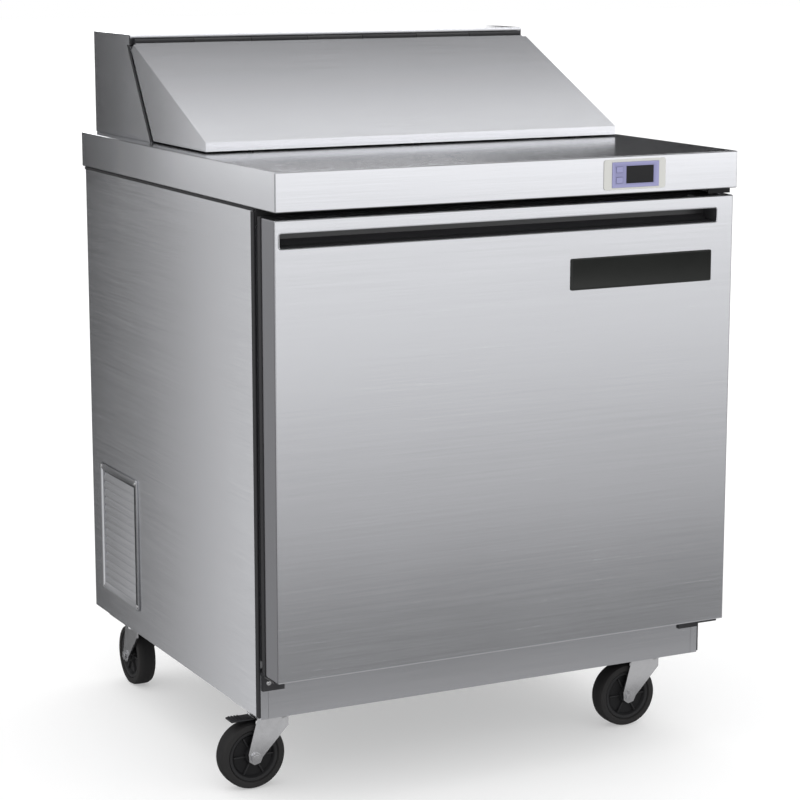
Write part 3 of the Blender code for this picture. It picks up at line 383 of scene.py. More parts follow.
# ---------------------------------------------------------------- mesh helpers
def loft(work, rings, closed=False):
    """Skin a list of rings that all have the same number of points; an open one gets end caps."""
    rows = [[work.verts.new(point) for point in ring] for ring in rings]
    pairs = list(zip(rows, rows[1:]))
    if closed:
        pairs.append((rows[-1], rows[0]))
    count = len(rows[0])
    for first, second in pairs:
        for index in range(count):
            after = (index + 1) % count
            work.faces.new((first[index], first[after], second[after], second[index]))
    if not closed:
        work.faces.new(rows[0][::-1])
        work.faces.new(rows[-1])


def frame_at(place, direction):
    """A matrix that puts local Z along a direction, at a place."""
    turn = Vector(direction).to_track_quat("Z", "Y").to_matrix().to_4x4()
    return Matrix.Translation(place) @ turn


def circle(radius, sides, height):
    """Points round a circle at a height."""
    points = []
    for index in range(sides):
        angle = 2 * math.pi * index / sides
        points.append(Vector((radius * math.cos(angle), radius * math.sin(angle), height)))
    return points


def turned(work, place, direction, profile, sides=32):
    """A solid turned about an axis, from (distance along it, radius) pairs."""
    matrix = frame_at(place, direction)
    loft(work, [[matrix @ point for point in circle(radius, sides, along)] for along, radius in profile])


def turned_ring(work, place, direction, outline, sides=48):
    """A ring turned about an axis, from a closed outline of (distance along it, radius) pairs."""
    matrix = frame_at(place, direction)
    rings = []
    for index in range(sides):
        angle = 2 * math.pi * index / sides
        ring = []
        for along, radius in outline:
            ring.append(matrix @ Vector((radius * math.cos(angle), radius * math.sin(angle), along)))
        rings.append(ring)
    loft(work, rings, closed=True)


def rod(work, start, end, radius, sides=8):
    """A wire with eased ends."""
    start, end = Vector(start), Vector(end)
    length = (end - start).length
    tip = radius * 0.3
    profile = [(0.0, radius - tip), (tip, radius), (length - tip, radius), (length, radius - tip)]
    turned(work, start, end - start, profile, sides)


def torus(work, place, direction, radius, thickness, sides=48, around=8):
    """A ring of round wire."""
    outline = []
    for index in range(around):
        angle = 2 * math.pi * index / around
        outline.append((thickness * math.sin(angle), radius + thickness * math.cos(angle)))
    turned_ring(work, place, direction, outline, sides)


def bar(work, outline, spots):
    """A bar along X between spots, with an outline of (y, z) points."""
    loft(work, [[(x, y, z) for y, z in outline] for x in spots])


def box(work, low, high, radius):
    """A box between two corners, its edges rounded."""
    low, high = Vector(low), Vector(high)
    made = bmesh.ops.create_cube(work, size=1.0)
    for vert in made["verts"]:
        vert.co = Vector(low[k] + (vert.co[k] + 0.5) * (high[k] - low[k]) for k in range(3))
    edges = list({edge for vert in made["verts"] for edge in vert.link_edges})
    bmesh.ops.bevel(work, geom=edges, offset=radius, segments=2, profile=0.5, affect="EDGES")


def rounded_rectangle(low, high, radius, steps=4):
    """Points round a rectangle with rounded corners, in its own plane."""
    corners = [(high[0] - radius, high[1] - radius), (low[0] + radius, high[1] - radius),
               (low[0] + radius, low[1] + radius), (high[0] - radius, low[1] + radius)]
    points = []
    for quarter, (a, b) in enumerate(corners):
        for step in range(steps + 1):
            angle = math.pi / 2 * (quarter + step / steps)
            points.append((a + radius * math.cos(angle), b + radius * math.sin(angle)))
    return points


def facing(plane, a, b, c):
    """A point from its place in a plane (a, b) and its distance c across it."""
    return {"XZ": (a, c, b), "YZ": (c, a, b)}[plane]


def outlines(plane, low, high, radius, section):
    """Rounded outlines of a rectangle, one for each (inset, distance across) pair of a section."""
    rings = []
    for inset, across in section:
        corner = max(radius - inset, 0.0002)
        inner_low = (low[0] + inset, low[1] + inset)
        inner_high = (high[0] - inset, high[1] - inset)
        loop = rounded_rectangle(inner_low, inner_high, corner)
        rings.append([facing(plane, a, b, across) for a, b in loop])
    return rings


def frame_ring(work, plane, low, high, radius, section):
    """A frame round a rectangle, whose section is a closed outline."""
    loft(work, outlines(plane, low, high, radius, section), closed=True)


def plate(work, plane, low, high, radius, section):
    """A plate stacked from rounded outlines and capped at both ends."""
    loft(work, outlines(plane, low, high, radius, section))


def screw(work, place, direction, radius=0.0040, height=0.0018):
    """A button-head screw with a socket."""
    profile = [(0.0, radius), (height * 0.35, radius), (height * 0.75, radius * 0.86),
               (height, radius * 0.62), (height, radius * 0.40), (height * 0.45, radius * 0.34)]
    turned(work, place, direction, profile, 20)


def bolt(work, place, direction, radius=0.0062, height=0.0036):
    """A hexagon bolt head on a washer."""
    washer = [(0.0, radius * 1.35), (0.0007, radius * 1.35), (0.0007, radius * 0.8)]
    turned(work, place, direction, washer, 28)
    head = [(0.0, radius), (height * 0.85, radius), (height, radius * 0.85)]
    turned(work, Vector(place) + Vector(direction).normalized() * 0.0008, direction, head, 6)


def piece(name, work, look, body, replaces=()):
    """Make a finished piece of a mesh: its material, the body it rides on, and what it stands for."""
    bmesh.ops.recalc_face_normals(work, faces=work.faces)
    mesh = bpy.data.meshes.new(name)
    work.to_mesh(mesh)
    work.free()
    mesh.shade_smooth()
    mesh.set_sharp_from_angle(angle=math.radians(38))
    mesh.materials.append(MATERIALS[look])
    obj = bpy.data.objects.new(name, mesh)
    SCENE.collection.objects.link(obj)
    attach(obj, body)
    if replaces:
        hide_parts(*replaces)
    return obj


# ---------------------------------------------------------------- counter, hood and lid
# Heights in the gap between the counter and the door, of the black pieces that paint its shade.
GAP_SHADE_BOTTOM = 0.8262
HINGE_SHADE_BOTTOM = 0.8405
# The hood's sloping side edge: (distance behind the counter's front, height) of its ends.
HOOD_EDGE_TOP = (0.5966, 1.0455)
HOOD_EDGE_LOW = (0.5058, 0.9040)
HINGE_LEAF = 0.0016


def make_counter_shade_strips():
    """Black vinyl strips under the counter's skirt and down the cabinet's front edges, as painted shade of
    the gaps there.
    """
    low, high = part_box("side_panel_left")
    outside = -low[0]
    top = high[2]
    edge = 0.0006
    shade_strip_mesh = bmesh.new()
    for side in (-1, 1):
        inner, outer = sorted((side * (outside + 0.0003), side * (outside + 0.0027)))
        # painted shade: a black strip under the counter's skirt, where the gap is in shade
        box(shade_strip_mesh, (inner, low[1] + 0.001, top - 0.0038), (outer, high[1] - 0.001, top + 0.0003), edge)
        # painted shade: a black strip down the cabinet's front edge, beside the shaded gap behind the door
        box(shade_strip_mesh, (inner, low[1] + 0.0002, low[2] + 0.002), (outer, low[1] + 0.0110, top - 0.0044), edge)
    piece("counter_painted_shade_strips", shade_strip_mesh, "gasket", "cabinet")


def make_gap_shade_strip():
    """A black strip on the cabinet's face, over the door: painted shade of the deep gap under the counter.
    """
    low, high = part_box("side_panel_left")
    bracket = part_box("hinge_bracket_top")[0]
    strip = bmesh.new()
    start = (low[0] - 0.0010, low[1] - 0.0028, GAP_SHADE_BOTTOM)
    end = (bracket[0] - 0.001, low[1] - GAP, high[2] - GAP)
    # painted shade: black where the gap over the door lies in shade
    box(strip, start, end, 0.0006)
    piece("gap_painted_shade_strip", strip, "strip", "cabinet")


def make_hinge_gap_shade():
    """A black piece over the door's top hinge bracket: painted shade of the deep gap under the counter."""
    panel_low, panel_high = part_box("side_panel_left")
    low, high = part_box("hinge_bracket_top")
    front = low[1] - 0.0024
    rear = high[1] - 0.0005
    top = panel_high[2] - GAP
    outline = [(front, HINGE_SHADE_BOTTOM), (front, top - 0.0004), (front + 0.0004, top), (rear, top),
               (rear, top - 0.0012), (front + 0.0018, top - 0.0012), (front + 0.0018, HINGE_SHADE_BOTTOM)]
    # painted shade: the black piece darkens the gap where the bracket sits
    shade_block = bmesh.new()
    bar(shade_block, outline, (low[0] - 0.0006, -panel_low[0] + 0.0016))
    piece("hinge_painted_shade", shade_block, "strip", "cabinet")


def make_hinge_ends():
    """End caps that carry the black hinge strip out to the hood's sides."""
    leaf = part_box("hood_hinge")[1]
    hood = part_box("hood")[1]
    caps = bmesh.new()
    for side in (-1, 1):
        inner, outer = sorted((side * (leaf[0] + GAP), side * (hood[0] - GAP)))
        box(caps, (inner, leaf[1] - 0.0022, leaf[2] - 0.0135), (outer, leaf[1], leaf[2]), 0.0005)
    piece("hinge_end_caps", caps, "black", "cabinet")


def make_nosing():
    """A thin steel nosing over the top of the hinge's fixed leaf."""
    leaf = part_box("hood_hinge")[1]
    low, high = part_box("hood")
    face = leaf[1] - HINGE_LEAF - GAP * 0.5
    top = leaf[2]
    outline = [(face - 0.0010, top - 0.0046), (face - 0.0013, top - 0.0040), (face - 0.0013, top - 0.0004),
               (face - 0.0009, top), (face, top), (face, top - 0.0046)]
    nosing = bmesh.new()
    bar(nosing, outline, (low[0] + 0.0004, high[0] - 0.0004))
    piece("hood_nosing", nosing, "steel_x", "cabinet")


def make_hood_trim():
    """Black vinyl edging on the hood's sloping side edges, beside the lid."""
    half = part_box("hood")[1][0]
    top = (back(HOOD_EDGE_TOP[0]), HOOD_EDGE_TOP[1])
    low = (back(HOOD_EDGE_LOW[0]), HOOD_EDGE_LOW[1])
    front, rear = 0.0007, 0.0085
    outline = [(low[0] + front, low[1]), (top[0] + front, top[1]),
               (top[0] + rear, top[1]), (low[0] + rear, low[1])]
    edging = bmesh.new()
    for side in (-1, 1):
        bar(edging, outline, sorted((side * (half + GAP * 0.5), side * (half + 0.0012))))
    piece("hood_edge_trim", edging, "gasket", "cabinet")


def make_lid_bumpers():
    """Rubber buttons under the lid's front, which rest on the counter."""
    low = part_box("lid_liner")[0]
    work_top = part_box("counter_top")[1][2]
    height = low[2] - GAP - work_top - GAP
    profile = [(0.0, 0.0055), (height * 0.5, 0.0055), (height * 0.85, 0.0047), (height, 0.0032)]
    bumpers = bmesh.new()
    for x in (-0.27, 0.0, 0.27):
        turned(bumpers, (x, low[1] + 0.007, low[2] - GAP), (0, 0, -1), profile, 24)
    piece("lid_bumpers", bumpers, "rubber", "lid")


# ---------------------------------------------------------------- door
# Heights of the pull's opening.
PULL_BOTTOM = 0.8000
PULL_TOP = 0.8205


def make_pull_bead():
    """The rolled bead round the pull's opening."""
    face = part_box("door_shell")[0][1]
    channel_low, channel_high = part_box("door_handle_channel")
    low = (channel_low[0] + 0.0020, PULL_BOTTOM)
    high = (channel_high[0] - 0.0020, PULL_TOP)
    section = [(-0.0016, face + GAP), (-0.0013, face - 0.0006), (-0.0006, face - 0.0010),
               (0.0002, face - 0.0007), (0.0006, face + 0.0002), (0.0006, face + 0.0016),
               (0.0002, face + 0.0016), (0.0, face + GAP)]
    bead = bmesh.new()
    frame_ring(bead, "XZ", low, high, 0.0030, section)
    piece("pull_edge_bead", bead, "steel_x", "door")


def make_gasket():
    """The door's magnetic gasket: a foot, bellows, and the flat nose that meets the cabinet."""
    low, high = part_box("door_shell")
    rear = high[1]
    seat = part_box("front_frame")[0][1] - 0.0004
    section = [(0.0, rear + GAP), (0.0, rear + 0.0052), (0.0018, rear + 0.0062), (0.0006, rear + 0.0075),
               (0.0006, rear + 0.0105), (0.0020, seat), (0.0150, seat), (0.0165, rear + 0.0105),
               (0.0165, rear + 0.0078), (0.0150, rear + 0.0064), (0.0180, rear + 0.0052),
               (0.0240, rear + 0.0020), (0.0240, rear + GAP)]
    outer_low = (low[0] + 0.0020, low[2] + 0.0134)
    outer_high = (high[0] - 0.0160, high[2] - 0.0128)
    gasket = bmesh.new()
    frame_ring(gasket, "XZ", outer_low, outer_high, 0.004, section)
    piece("gasket_bellows", gasket, "gasket", "door", ["door_gasket"])


def make_door_edge_shade():
    """A black band round the rear edge of the door's sides: painted shade of the gap behind the door, beside
    the black gasket.
    """
    low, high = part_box("door_shell")
    rear = high[1]
    reach = GAP * 2
    section = [(GAP, rear - 0.0100), (-0.0005, rear - 0.0096), (-0.0007, rear - 0.0090),
               (-0.0007, rear - 0.0008), (-0.0003, rear - GAP), (GAP, rear - GAP)]
    outer_low = (low[0] - reach, low[2] - reach)
    outer_high = (high[0] + reach, high[2] + reach)
    edge_shade_mesh = bmesh.new()
    # painted shade: the rear of the door's sides is coloured black where the gap lies in shade
    frame_ring(edge_shade_mesh, "XZ", outer_low, outer_high, 0.0012, section)
    piece("door_edge_painted_shade", edge_shade_mesh, "gasket", "door")


def make_badge():
    """A blank badge plate with a bevelled rim."""
    low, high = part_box("door_badge")
    section = [(0.0, high[1]), (0.0, low[1] + 0.0005), (0.0005, low[1]), (0.0022, low[1]),
               (0.0028, low[1] + 0.0006)]
    badge = bmesh.new()
    plate(badge, "XZ", (low[0], low[2]), (high[0], high[2]), 0.0025, section)
    piece("badge_plate", badge, "badge", "door", ["door_badge"])


def make_bracket_screws():
    """Screws through the flanges of the lower brackets."""
    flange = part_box("front_frame")[0][1] - GAP - 0.0030
    screws = bmesh.new()
    for name in ("hinge_bracket_bottom", "door_rest_bracket"):
        low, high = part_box(name)
        for share in (0.28, 0.72):
            x = low[0] + (high[0] - low[0]) * share
            screw(screws, (x, flange, low[2] + 0.0115), (0, -1, 0), 0.0038, 0.0016)
    piece("bracket_screws", screws, "zinc", "cabinet")


# ---------------------------------------------------------------- controller and vent
def make_controller_plate():
    """The flat surround between the controller's bezel and the counter's face."""
    low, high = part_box("controller_bezel")
    outer_low = (low[0] - 0.0135, low[2] - 0.0032)
    outer_high = (high[0] + 0.0120, high[2] + 0.0040)
    hole_low = (low[0] - GAP, low[2] - GAP)
    hole_high = (high[0] + GAP, high[2] + GAP)
    face = FRONT - 0.0012
    rear = FRONT - 0.0002
    eased_low = (outer_low[0] + 0.0005, outer_low[1] + 0.0005)
    eased_high = (outer_high[0] - 0.0005, outer_high[1] - 0.0005)
    rings = []
    for start, end, radius, y in (
        (outer_low, outer_high, 0.0040, rear),
        (outer_low, outer_high, 0.0040, face + 0.0005),
        (eased_low, eased_high, 0.0035, face),
        (hole_low, hole_high, 0.0008, face),
        (hole_low, hole_high, 0.0008, rear),
    ):
        rings.append([(x, y, z) for x, z in rounded_rectangle(start, end, radius)])
    surround = bmesh.new()
    loft(surround, rings, closed=True)
    piece("controller_surround", surround, "plate", "cabinet")


def make_vent():
    """The side vent: a pressed frame with closed, sloping slats."""
    low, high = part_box("side_grille")
    outside, inside = low[0], high[0]
    margin = 0.0135
    section = [(0.0, inside), (0.0, outside + 0.0008), (0.0008, outside), (margin - 0.0030, outside),
               (margin, outside + 0.0012), (margin, inside)]
    vent = bmesh.new()
    frame_ring(vent, "YZ", (low[1], low[2]), (high[1], high[2]), 0.004, section)
    count = 14
    bottom = low[2] + margin
    pitch = (high[2] - low[2] - 2 * margin) / count
    depth = (low[1] + margin - 0.0002, high[1] - margin + 0.0002)
    for index in range(count):
        z = bottom + index * pitch
        outline = [(outside + 0.0006, z - 0.0002), (outside + 0.0006, z + 0.0012),
                   (inside + 0.0014, z + pitch + 0.0006), (inside + 0.0022, z + pitch - 0.0002)]
        loft(vent, [[(x, y, height) for x, height in outline] for y in depth])
    piece("vent_grille", vent, "steel_y", "cabinet", ["side_grille"])


def make_vent_screws():
    """Screws in the corners of the side vent."""
    low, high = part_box("side_grille")
    screws = bmesh.new()
    for y in (low[1] + 0.0065, high[1] - 0.0065):
        for z in (low[2] + 0.0065, high[2] - 0.0065):
            screw(screws, (low[0] + 0.0001, y, z), (-1, 0, 0), 0.0030, 0.0012)
    piece("vent_screws", screws, "zinc", "cabinet")


# ---------------------------------------------------------------- pans, shelf and evaporator
PAN_HALF_DEPTH = 0.0878
# A pan's form from its lip to its floor: insets across and back, corner radius, and height below the rim.
PAN_FORM = [
    (0.0, 0.0, 0.012, -0.0022),
    (0.0, 0.0, 0.012, -0.0007),
    (0.0006, 0.0006, 0.0115, 0.0),
    (0.0056, 0.0060, 0.0105, 0.0),
    (0.0066, 0.0070, 0.010, -0.0014),
    (0.0122, 0.0134, 0.012, -0.0930),
    (0.0138, 0.0152, 0.014, -0.0965),
    (0.0180, 0.0190, 0.014, -0.0985),
    (0.0240, 0.0250, 0.014, -0.0990),
]


def add_pan(work, x, y, half_x, top):
    """One pan, open at the top."""
    rings = []
    for inset_x, inset_y, radius, drop in PAN_FORM:
        reach_x = half_x - inset_x
        reach_y = PAN_HALF_DEPTH - inset_y
        loop = rounded_rectangle((x - reach_x, y - reach_y), (x + reach_x, y + reach_y), radius, 6)
        rings.append([(a, b, top + drop) for a, b in loop])
    loft(work, rings)
    work.faces.ensure_lookup_table()
    top_cap = work.faces[-2]
    bmesh.ops.delete(work, geom=[top_cap], context="FACES_ONLY")


def make_pans():
    """Drawn pans with round corners, a flat rim and a turned-down lip: two to a column."""
    for column in range(1, 5):
        low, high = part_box(f"food_pans_{column}")
        half_x = (high[0] - low[0]) / 2
        offset = (high[1] - low[1]) / 2 - PAN_HALF_DEPTH
        pans = bmesh.new()
        for side in (-1, 1):
            y = (low[1] + high[1]) / 2 + side * offset
            add_pan(pans, (low[0] + high[0]) / 2, y, half_x, high[2])
        pair = piece(f"drawn_pans_{column}", pans, "pan", "cabinet", [f"food_pans_{column}"])
        sheet = pair.modifiers.new("sheet", "SOLIDIFY")
        sheet.thickness = 0.0006
        sheet.offset = -1.0


def make_shelf():
    """A welded wire shelf: a heavy border, two cross bars and fine wires."""
    low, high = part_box("wire_shelf")
    heavy, fine = 0.0024, 0.0013
    z = low[2] + heavy
    shelf = bmesh.new()
    inner_low = (low[0] + heavy, low[1] + heavy)
    inner_high = (high[0] - heavy, high[1] - heavy)
    for y in (inner_low[1], inner_high[1], (low[1] + high[1]) / 2 - 0.08, (low[1] + high[1]) / 2 + 0.08):
        rod(shelf, (inner_low[0], y, z), (inner_high[0], y, z), heavy, 12)
    for x in (inner_low[0], inner_high[0]):
        rod(shelf, (x, inner_low[1], z), (x, inner_high[1], z), heavy, 12)
    wires = 26
    for index in range(1, wires):
        x = inner_low[0] + (inner_high[0] - inner_low[0]) * index / wires
        rod(shelf, (x, inner_low[1], high[2] - fine), (x, inner_high[1], high[2] - fine), fine)
    piece("welded_shelf", shelf, "zinc", "cabinet", ["wire_shelf"])


def make_fan_guard():
    """A wire guard over the evaporator's fan: rings and four spokes."""
    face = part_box("evaporator_cover")[0][1]
    fan = JOINTS["evaporator_fan_spin"]["pos_m"]
    wire = 0.0010
    guard = bmesh.new()
    for step in range(1, 7):
        torus(guard, (fan[0], face - 0.0030, fan[2]), (0, -1, 0), 0.0105 * step, wire, 40, 6)
    for step in range(4):
        angle = math.pi / 4 * (2 * step + 1)
        reach = Vector((math.cos(angle), 0.0, math.sin(angle))) * 0.0660
        centre = Vector((fan[0], face - 0.0015, fan[2]))
        rod(guard, centre + reach * 0.10, centre + reach, wire)
    piece("fan_guard", guard, "zinc", "cabinet")


def make_evaporator_screws():
    """Screws in the corners of the evaporator's cover."""
    low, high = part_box("evaporator_cover")
    screws = bmesh.new()
    for x in (low[0] + 0.014, high[0] - 0.014):
        for z in (low[2] + 0.014, high[2] - 0.014):
            screw(screws, (x, low[1] - 0.0001, z), (0, -1, 0))
    piece("evaporator_screws", screws, "zinc", "cabinet")


# ---------------------------------------------------------------- back and machinery
LOUVRES = 8
LOUVRE_BOTTOM = 0.175
LOUVRE_PITCH = 0.026
LOUVRE_HALF_WIDTH = 0.223


def make_louvres():
    """Pressed hoods over the louvres of the rear panel."""
    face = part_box("rear_panel")[1][1]
    louvres = bmesh.new()
    for index in range(LOUVRES):
        slot = LOUVRE_BOTTOM + index * LOUVRE_PITCH
        outline = [(face + GAP, slot + 0.0160), (face + 0.0008, slot + 0.0160),
                   (face + 0.0032, slot + 0.0050), (face + 0.0026, slot + 0.0044),
                   (face + GAP, slot + 0.0138)]
        bar(louvres, outline, (-LOUVRE_HALF_WIDTH, LOUVRE_HALF_WIDTH))
    piece("rear_louvres", louvres, "galvanised", "cabinet")


def make_rear_screws():
    """Three columns of screws in the rear panel."""
    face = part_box("rear_panel")[1][1]
    screws = bmesh.new()
    for x in (-0.352, 0.0, 0.352):
        for z in (0.150, 0.490, 0.828):
            screw(screws, (x, face + 0.0001, z), (0, 1, 0), 0.0042, 0.0020)
    piece("rear_screws", screws, "zinc", "cabinet")


def make_locknut():
    """The hexagon locknut of the cord gland."""
    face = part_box("rear_panel")[1][1]
    low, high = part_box("cord_gland")
    centre = ((low[0] + high[0]) / 2, face + GAP, (low[2] + high[2]) / 2)
    radius = (high[0] - low[0]) / 2
    outline = [(0.0, radius), (0.0, radius + 0.0045), (0.0030, radius + 0.0045),
               (0.0038, radius + 0.0035), (0.0038, radius)]
    nut = bmesh.new()
    turned_ring(nut, centre, (0, 1, 0), outline, 6)
    piece("gland_locknut", nut, "black", "cabinet")


def make_compressor_detail():
    """The weld seam round the compressor's shell, and the bolts of its mounts."""
    low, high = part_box("compressor")
    centre = ((low[0] + high[0]) / 2, (low[1] + high[1]) / 2)
    seam = bmesh.new()
    torus(seam, (*centre, low[2] + 0.080), (0, 0, 1), 0.0621, 0.0016, 64, 8)
    piece("compressor_seam", seam, "enamel", "cabinet")
    mounts = bmesh.new()
    for x in (low[0] + 0.014, high[0] - 0.014):
        for y in (low[1] + 0.014, high[1] - 0.014):
            bolt(mounts, (x, y, low[2] + 0.0142), (0, 0, 1))
    piece("compressor_bolts", mounts, "zinc", "cabinet")


# ---------------------------------------------------------------- casters
def caster_frame(name):
    """A caster's own axes: origin under the swivel, X towards the wheel, Z up."""
    swivel = Vector(JOINTS[f"swivel_{name}"]["pos_m"])
    wheel = Vector(JOINTS[f"roll_{name}"]["pos_m"])
    along = Vector((wheel.x - swivel.x, wheel.y - swivel.y, 0.0))
    turn = Matrix.Rotation(math.atan2(along.y, along.x), 4, "Z")
    return Matrix.Translation((swivel.x, swivel.y, 0.0)) @ turn, along.length, wheel.z


def set_down(work, matrix):
    """Move a mesh from a caster's own axes to its place."""
    bmesh.ops.transform(work, matrix=matrix, verts=work.verts)


TYRE_SEAT = 0.0376
PLATE_BOTTOM = 0.1225
RACE_BOTTOM = 0.1110
KINGPIN_BOTTOM = 0.1044


def make_tread(name, matrix, centre):
    """A tyre with round shoulders."""
    tread = centre[2]
    outline = [(-0.0122, TYRE_SEAT), (-0.0146, TYRE_SEAT + 0.0018), (-0.0150, 0.0440), (-0.0138, 0.0474),
               (-0.0100, 0.0493), (-0.0050, tread - 0.0002), (0.0050, tread - 0.0002), (0.0100, 0.0493),
               (0.0138, 0.0474), (0.0150, 0.0440), (0.0146, TYRE_SEAT + 0.0018), (0.0122, TYRE_SEAT)]
    tyre = bmesh.new()
    turned_ring(tyre, centre, (0, 1, 0), outline, 72)
    set_down(tyre, matrix)
    piece(f"tread_{name}", tyre, "rubber", f"wheel_{name}", [f"tyre_{name}"])


def add_rib(work, centre, turn):
    """One rib of a hub, turned about the axle."""
    rib = bmesh.new()
    box(rib, (0.0120, -0.0115, -0.0011), (0.0310, 0.0115, 0.0011), 0.0005)
    set_down(rib, Matrix.Translation(centre) @ Matrix.Rotation(turn, 4, "Y"))
    mesh = bpy.data.meshes.new("rib")
    rib.to_mesh(mesh)
    rib.free()
    work.from_mesh(mesh)
    bpy.data.meshes.remove(mesh)


def make_hub(name, matrix, centre):
    """A moulded hub with six ribs."""
    rim = TYRE_SEAT - GAP
    outline = [(-0.0128, 0.0050), (-0.0128, 0.0110), (-0.0084, 0.0136), (-0.0080, 0.0296), (-0.0122, 0.0330),
               (-0.0126, rim), (0.0126, rim), (0.0122, 0.0330), (0.0080, 0.0296), (0.0084, 0.0136),
               (0.0128, 0.0110), (0.0128, 0.0050)]
    hub = bmesh.new()
    turned_ring(hub, centre, (0, 1, 0), outline, 72)
    for index in range(6):
        add_rib(hub, centre, math.pi / 3 * index)
    set_down(hub, matrix)
    piece(f"wheel_hub_{name}", hub, "hub", f"wheel_{name}", [f"hub_{name}"])


def make_race(name, swivel):
    """The pressed ring round the swivel's balls."""
    outline = [(0.0, 0.0242), (0.0, 0.0266), (0.0012, 0.0276), (0.0046, 0.0276), (0.0060, 0.0264),
               (0.0060, 0.0242)]
    race = bmesh.new()
    turned_ring(race, (0, 0, RACE_BOTTOM), (0, 0, 1), outline, 56)
    set_down(race, swivel)
    piece(f"ball_race_{name}", race, "zinc", "cabinet")


def make_plate_bolts(name, swivel):
    """Four bolts through the caster's plate."""
    bolts = bmesh.new()
    for x in (-0.037, 0.037):
        for y in (-0.025, 0.025):
            bolt(bolts, (x, y, PLATE_BOTTOM - 0.0001), (0, 0, -1), 0.0055, 0.0032)
    set_down(bolts, swivel)
    piece(f"plate_bolts_{name}", bolts, "zinc", "cabinet")


def make_kingpin(name, matrix):
    """The nut under the fork's crown."""
    kingpin = bmesh.new()
    bolt(kingpin, (0.0, 0.0, KINGPIN_BOTTOM), (0, 0, -1), 0.0068, 0.0036)
    set_down(kingpin, matrix)
    piece(f"kingpin_nut_{name}", kingpin, "zinc", f"fork_{name}")


def make_lever(name, matrix):
    """A brake lever with four ridges."""
    lever = bmesh.new()
    box(lever, (0.0302, -0.0118, 0.1036), (0.0658, 0.0118, 0.1064), 0.0010)
    for ridge in range(4):
        x = 0.0470 + ridge * 0.0045
        box(lever, (x, -0.0105, 0.1062), (x + 0.0020, 0.0105, 0.1078), 0.0005)
    set_down(lever, matrix)
    stands_for = [f"brake_pedal_{name}"]
    piece(f"brake_lever_{name}", lever, "black", f"pedal_{name}", stands_for)


def make_caster(name):
    """All the fine pieces of one caster."""
    matrix, trail, axle = caster_frame(name)
    centre = (trail, 0.0, axle)
    swivel = Matrix.Translation(matrix.to_translation())
    make_tread(name, matrix, centre)
    make_hub(name, matrix, centre)
    make_race(name, swivel)
    make_plate_bolts(name, swivel)
    make_kingpin(name, matrix)
    if f"pedal_{name}" in JOINTS:
        make_lever(name, matrix)


# ---------------------------------------------------------------- studio and camera
def glow(name, axis, stops):
    """Light whose strength runs along a world axis: stops are (place, strength) pairs in order of place."""
    material = bpy.data.materials.new(name)
    material.use_nodes = True
    tree = material.node_tree
    tree.nodes.clear()
    output = tree.nodes.new("ShaderNodeOutputMaterial")
    light = tree.nodes.new("ShaderNodeEmission")
    coordinates = tree.nodes.new("ShaderNodeTexCoord")
    split = tree.nodes.new("ShaderNodeSeparateXYZ")
    scale = tree.nodes.new("ShaderNodeMapRange")
    ramp = tree.nodes.new("ShaderNodeValToRGB")
    first, last = stops[0][0], stops[-1][0]
    most = max(strength for place, strength in stops)
    scale.inputs["From Min"].default_value = first
    scale.inputs["From Max"].default_value = last
    elements = ramp.color_ramp.elements
    elements.remove(elements[1])
    for index, (place, strength) in enumerate(stops):
        position = (place - first) / (last - first)
        element = elements[0] if index == 0 else elements.new(position)
        element.position = position
        level = strength / most
        element.color = (level, level, level, 1.0)
    light.inputs["Strength"].default_value = most
    tree.links.new(coordinates.outputs["Object"], split.inputs[0])
    tree.links.new(split.outputs[axis], scale.inputs["Value"])
    tree.links.new(scale.outputs["Result"], ramp.inputs["Fac"])
    tree.links.new(ramp.outputs["Color"], light.inputs["Color"])
    tree.links.new(light.outputs[0], output.inputs[0])
    return material


def card(name, corners, axis, stops):
    """A flat studio card that only reflections see."""
    mesh = bpy.data.meshes.new(name)
    mesh.from_pydata(corners, [], [(0, 1, 2, 3)])
    mesh.materials.append(glow(name, axis, stops))
    obj = bpy.data.objects.new(name, mesh)
    SCENE.collection.objects.link(obj)
    obj.visible_camera = False
    obj.visible_diffuse = False
    obj.visible_shadow = False
    obj.visible_transmission = False


def level_card(name, x, y, z, stops):
    """A level card at a height, graded from front to back."""
    card(name, [(x[0], y[0], z), (x[1], y[0], z), (x[1], y[1], z), (x[0], y[1], z)], "Y", stops)


def upright_card(name, start, end, z, axis, stops):
    """An upright card between two places on the floor."""
    card(name, [(*start, z[0]), (*end, z[0]), (*end, z[1]), (*start, z[1])], axis, stops)


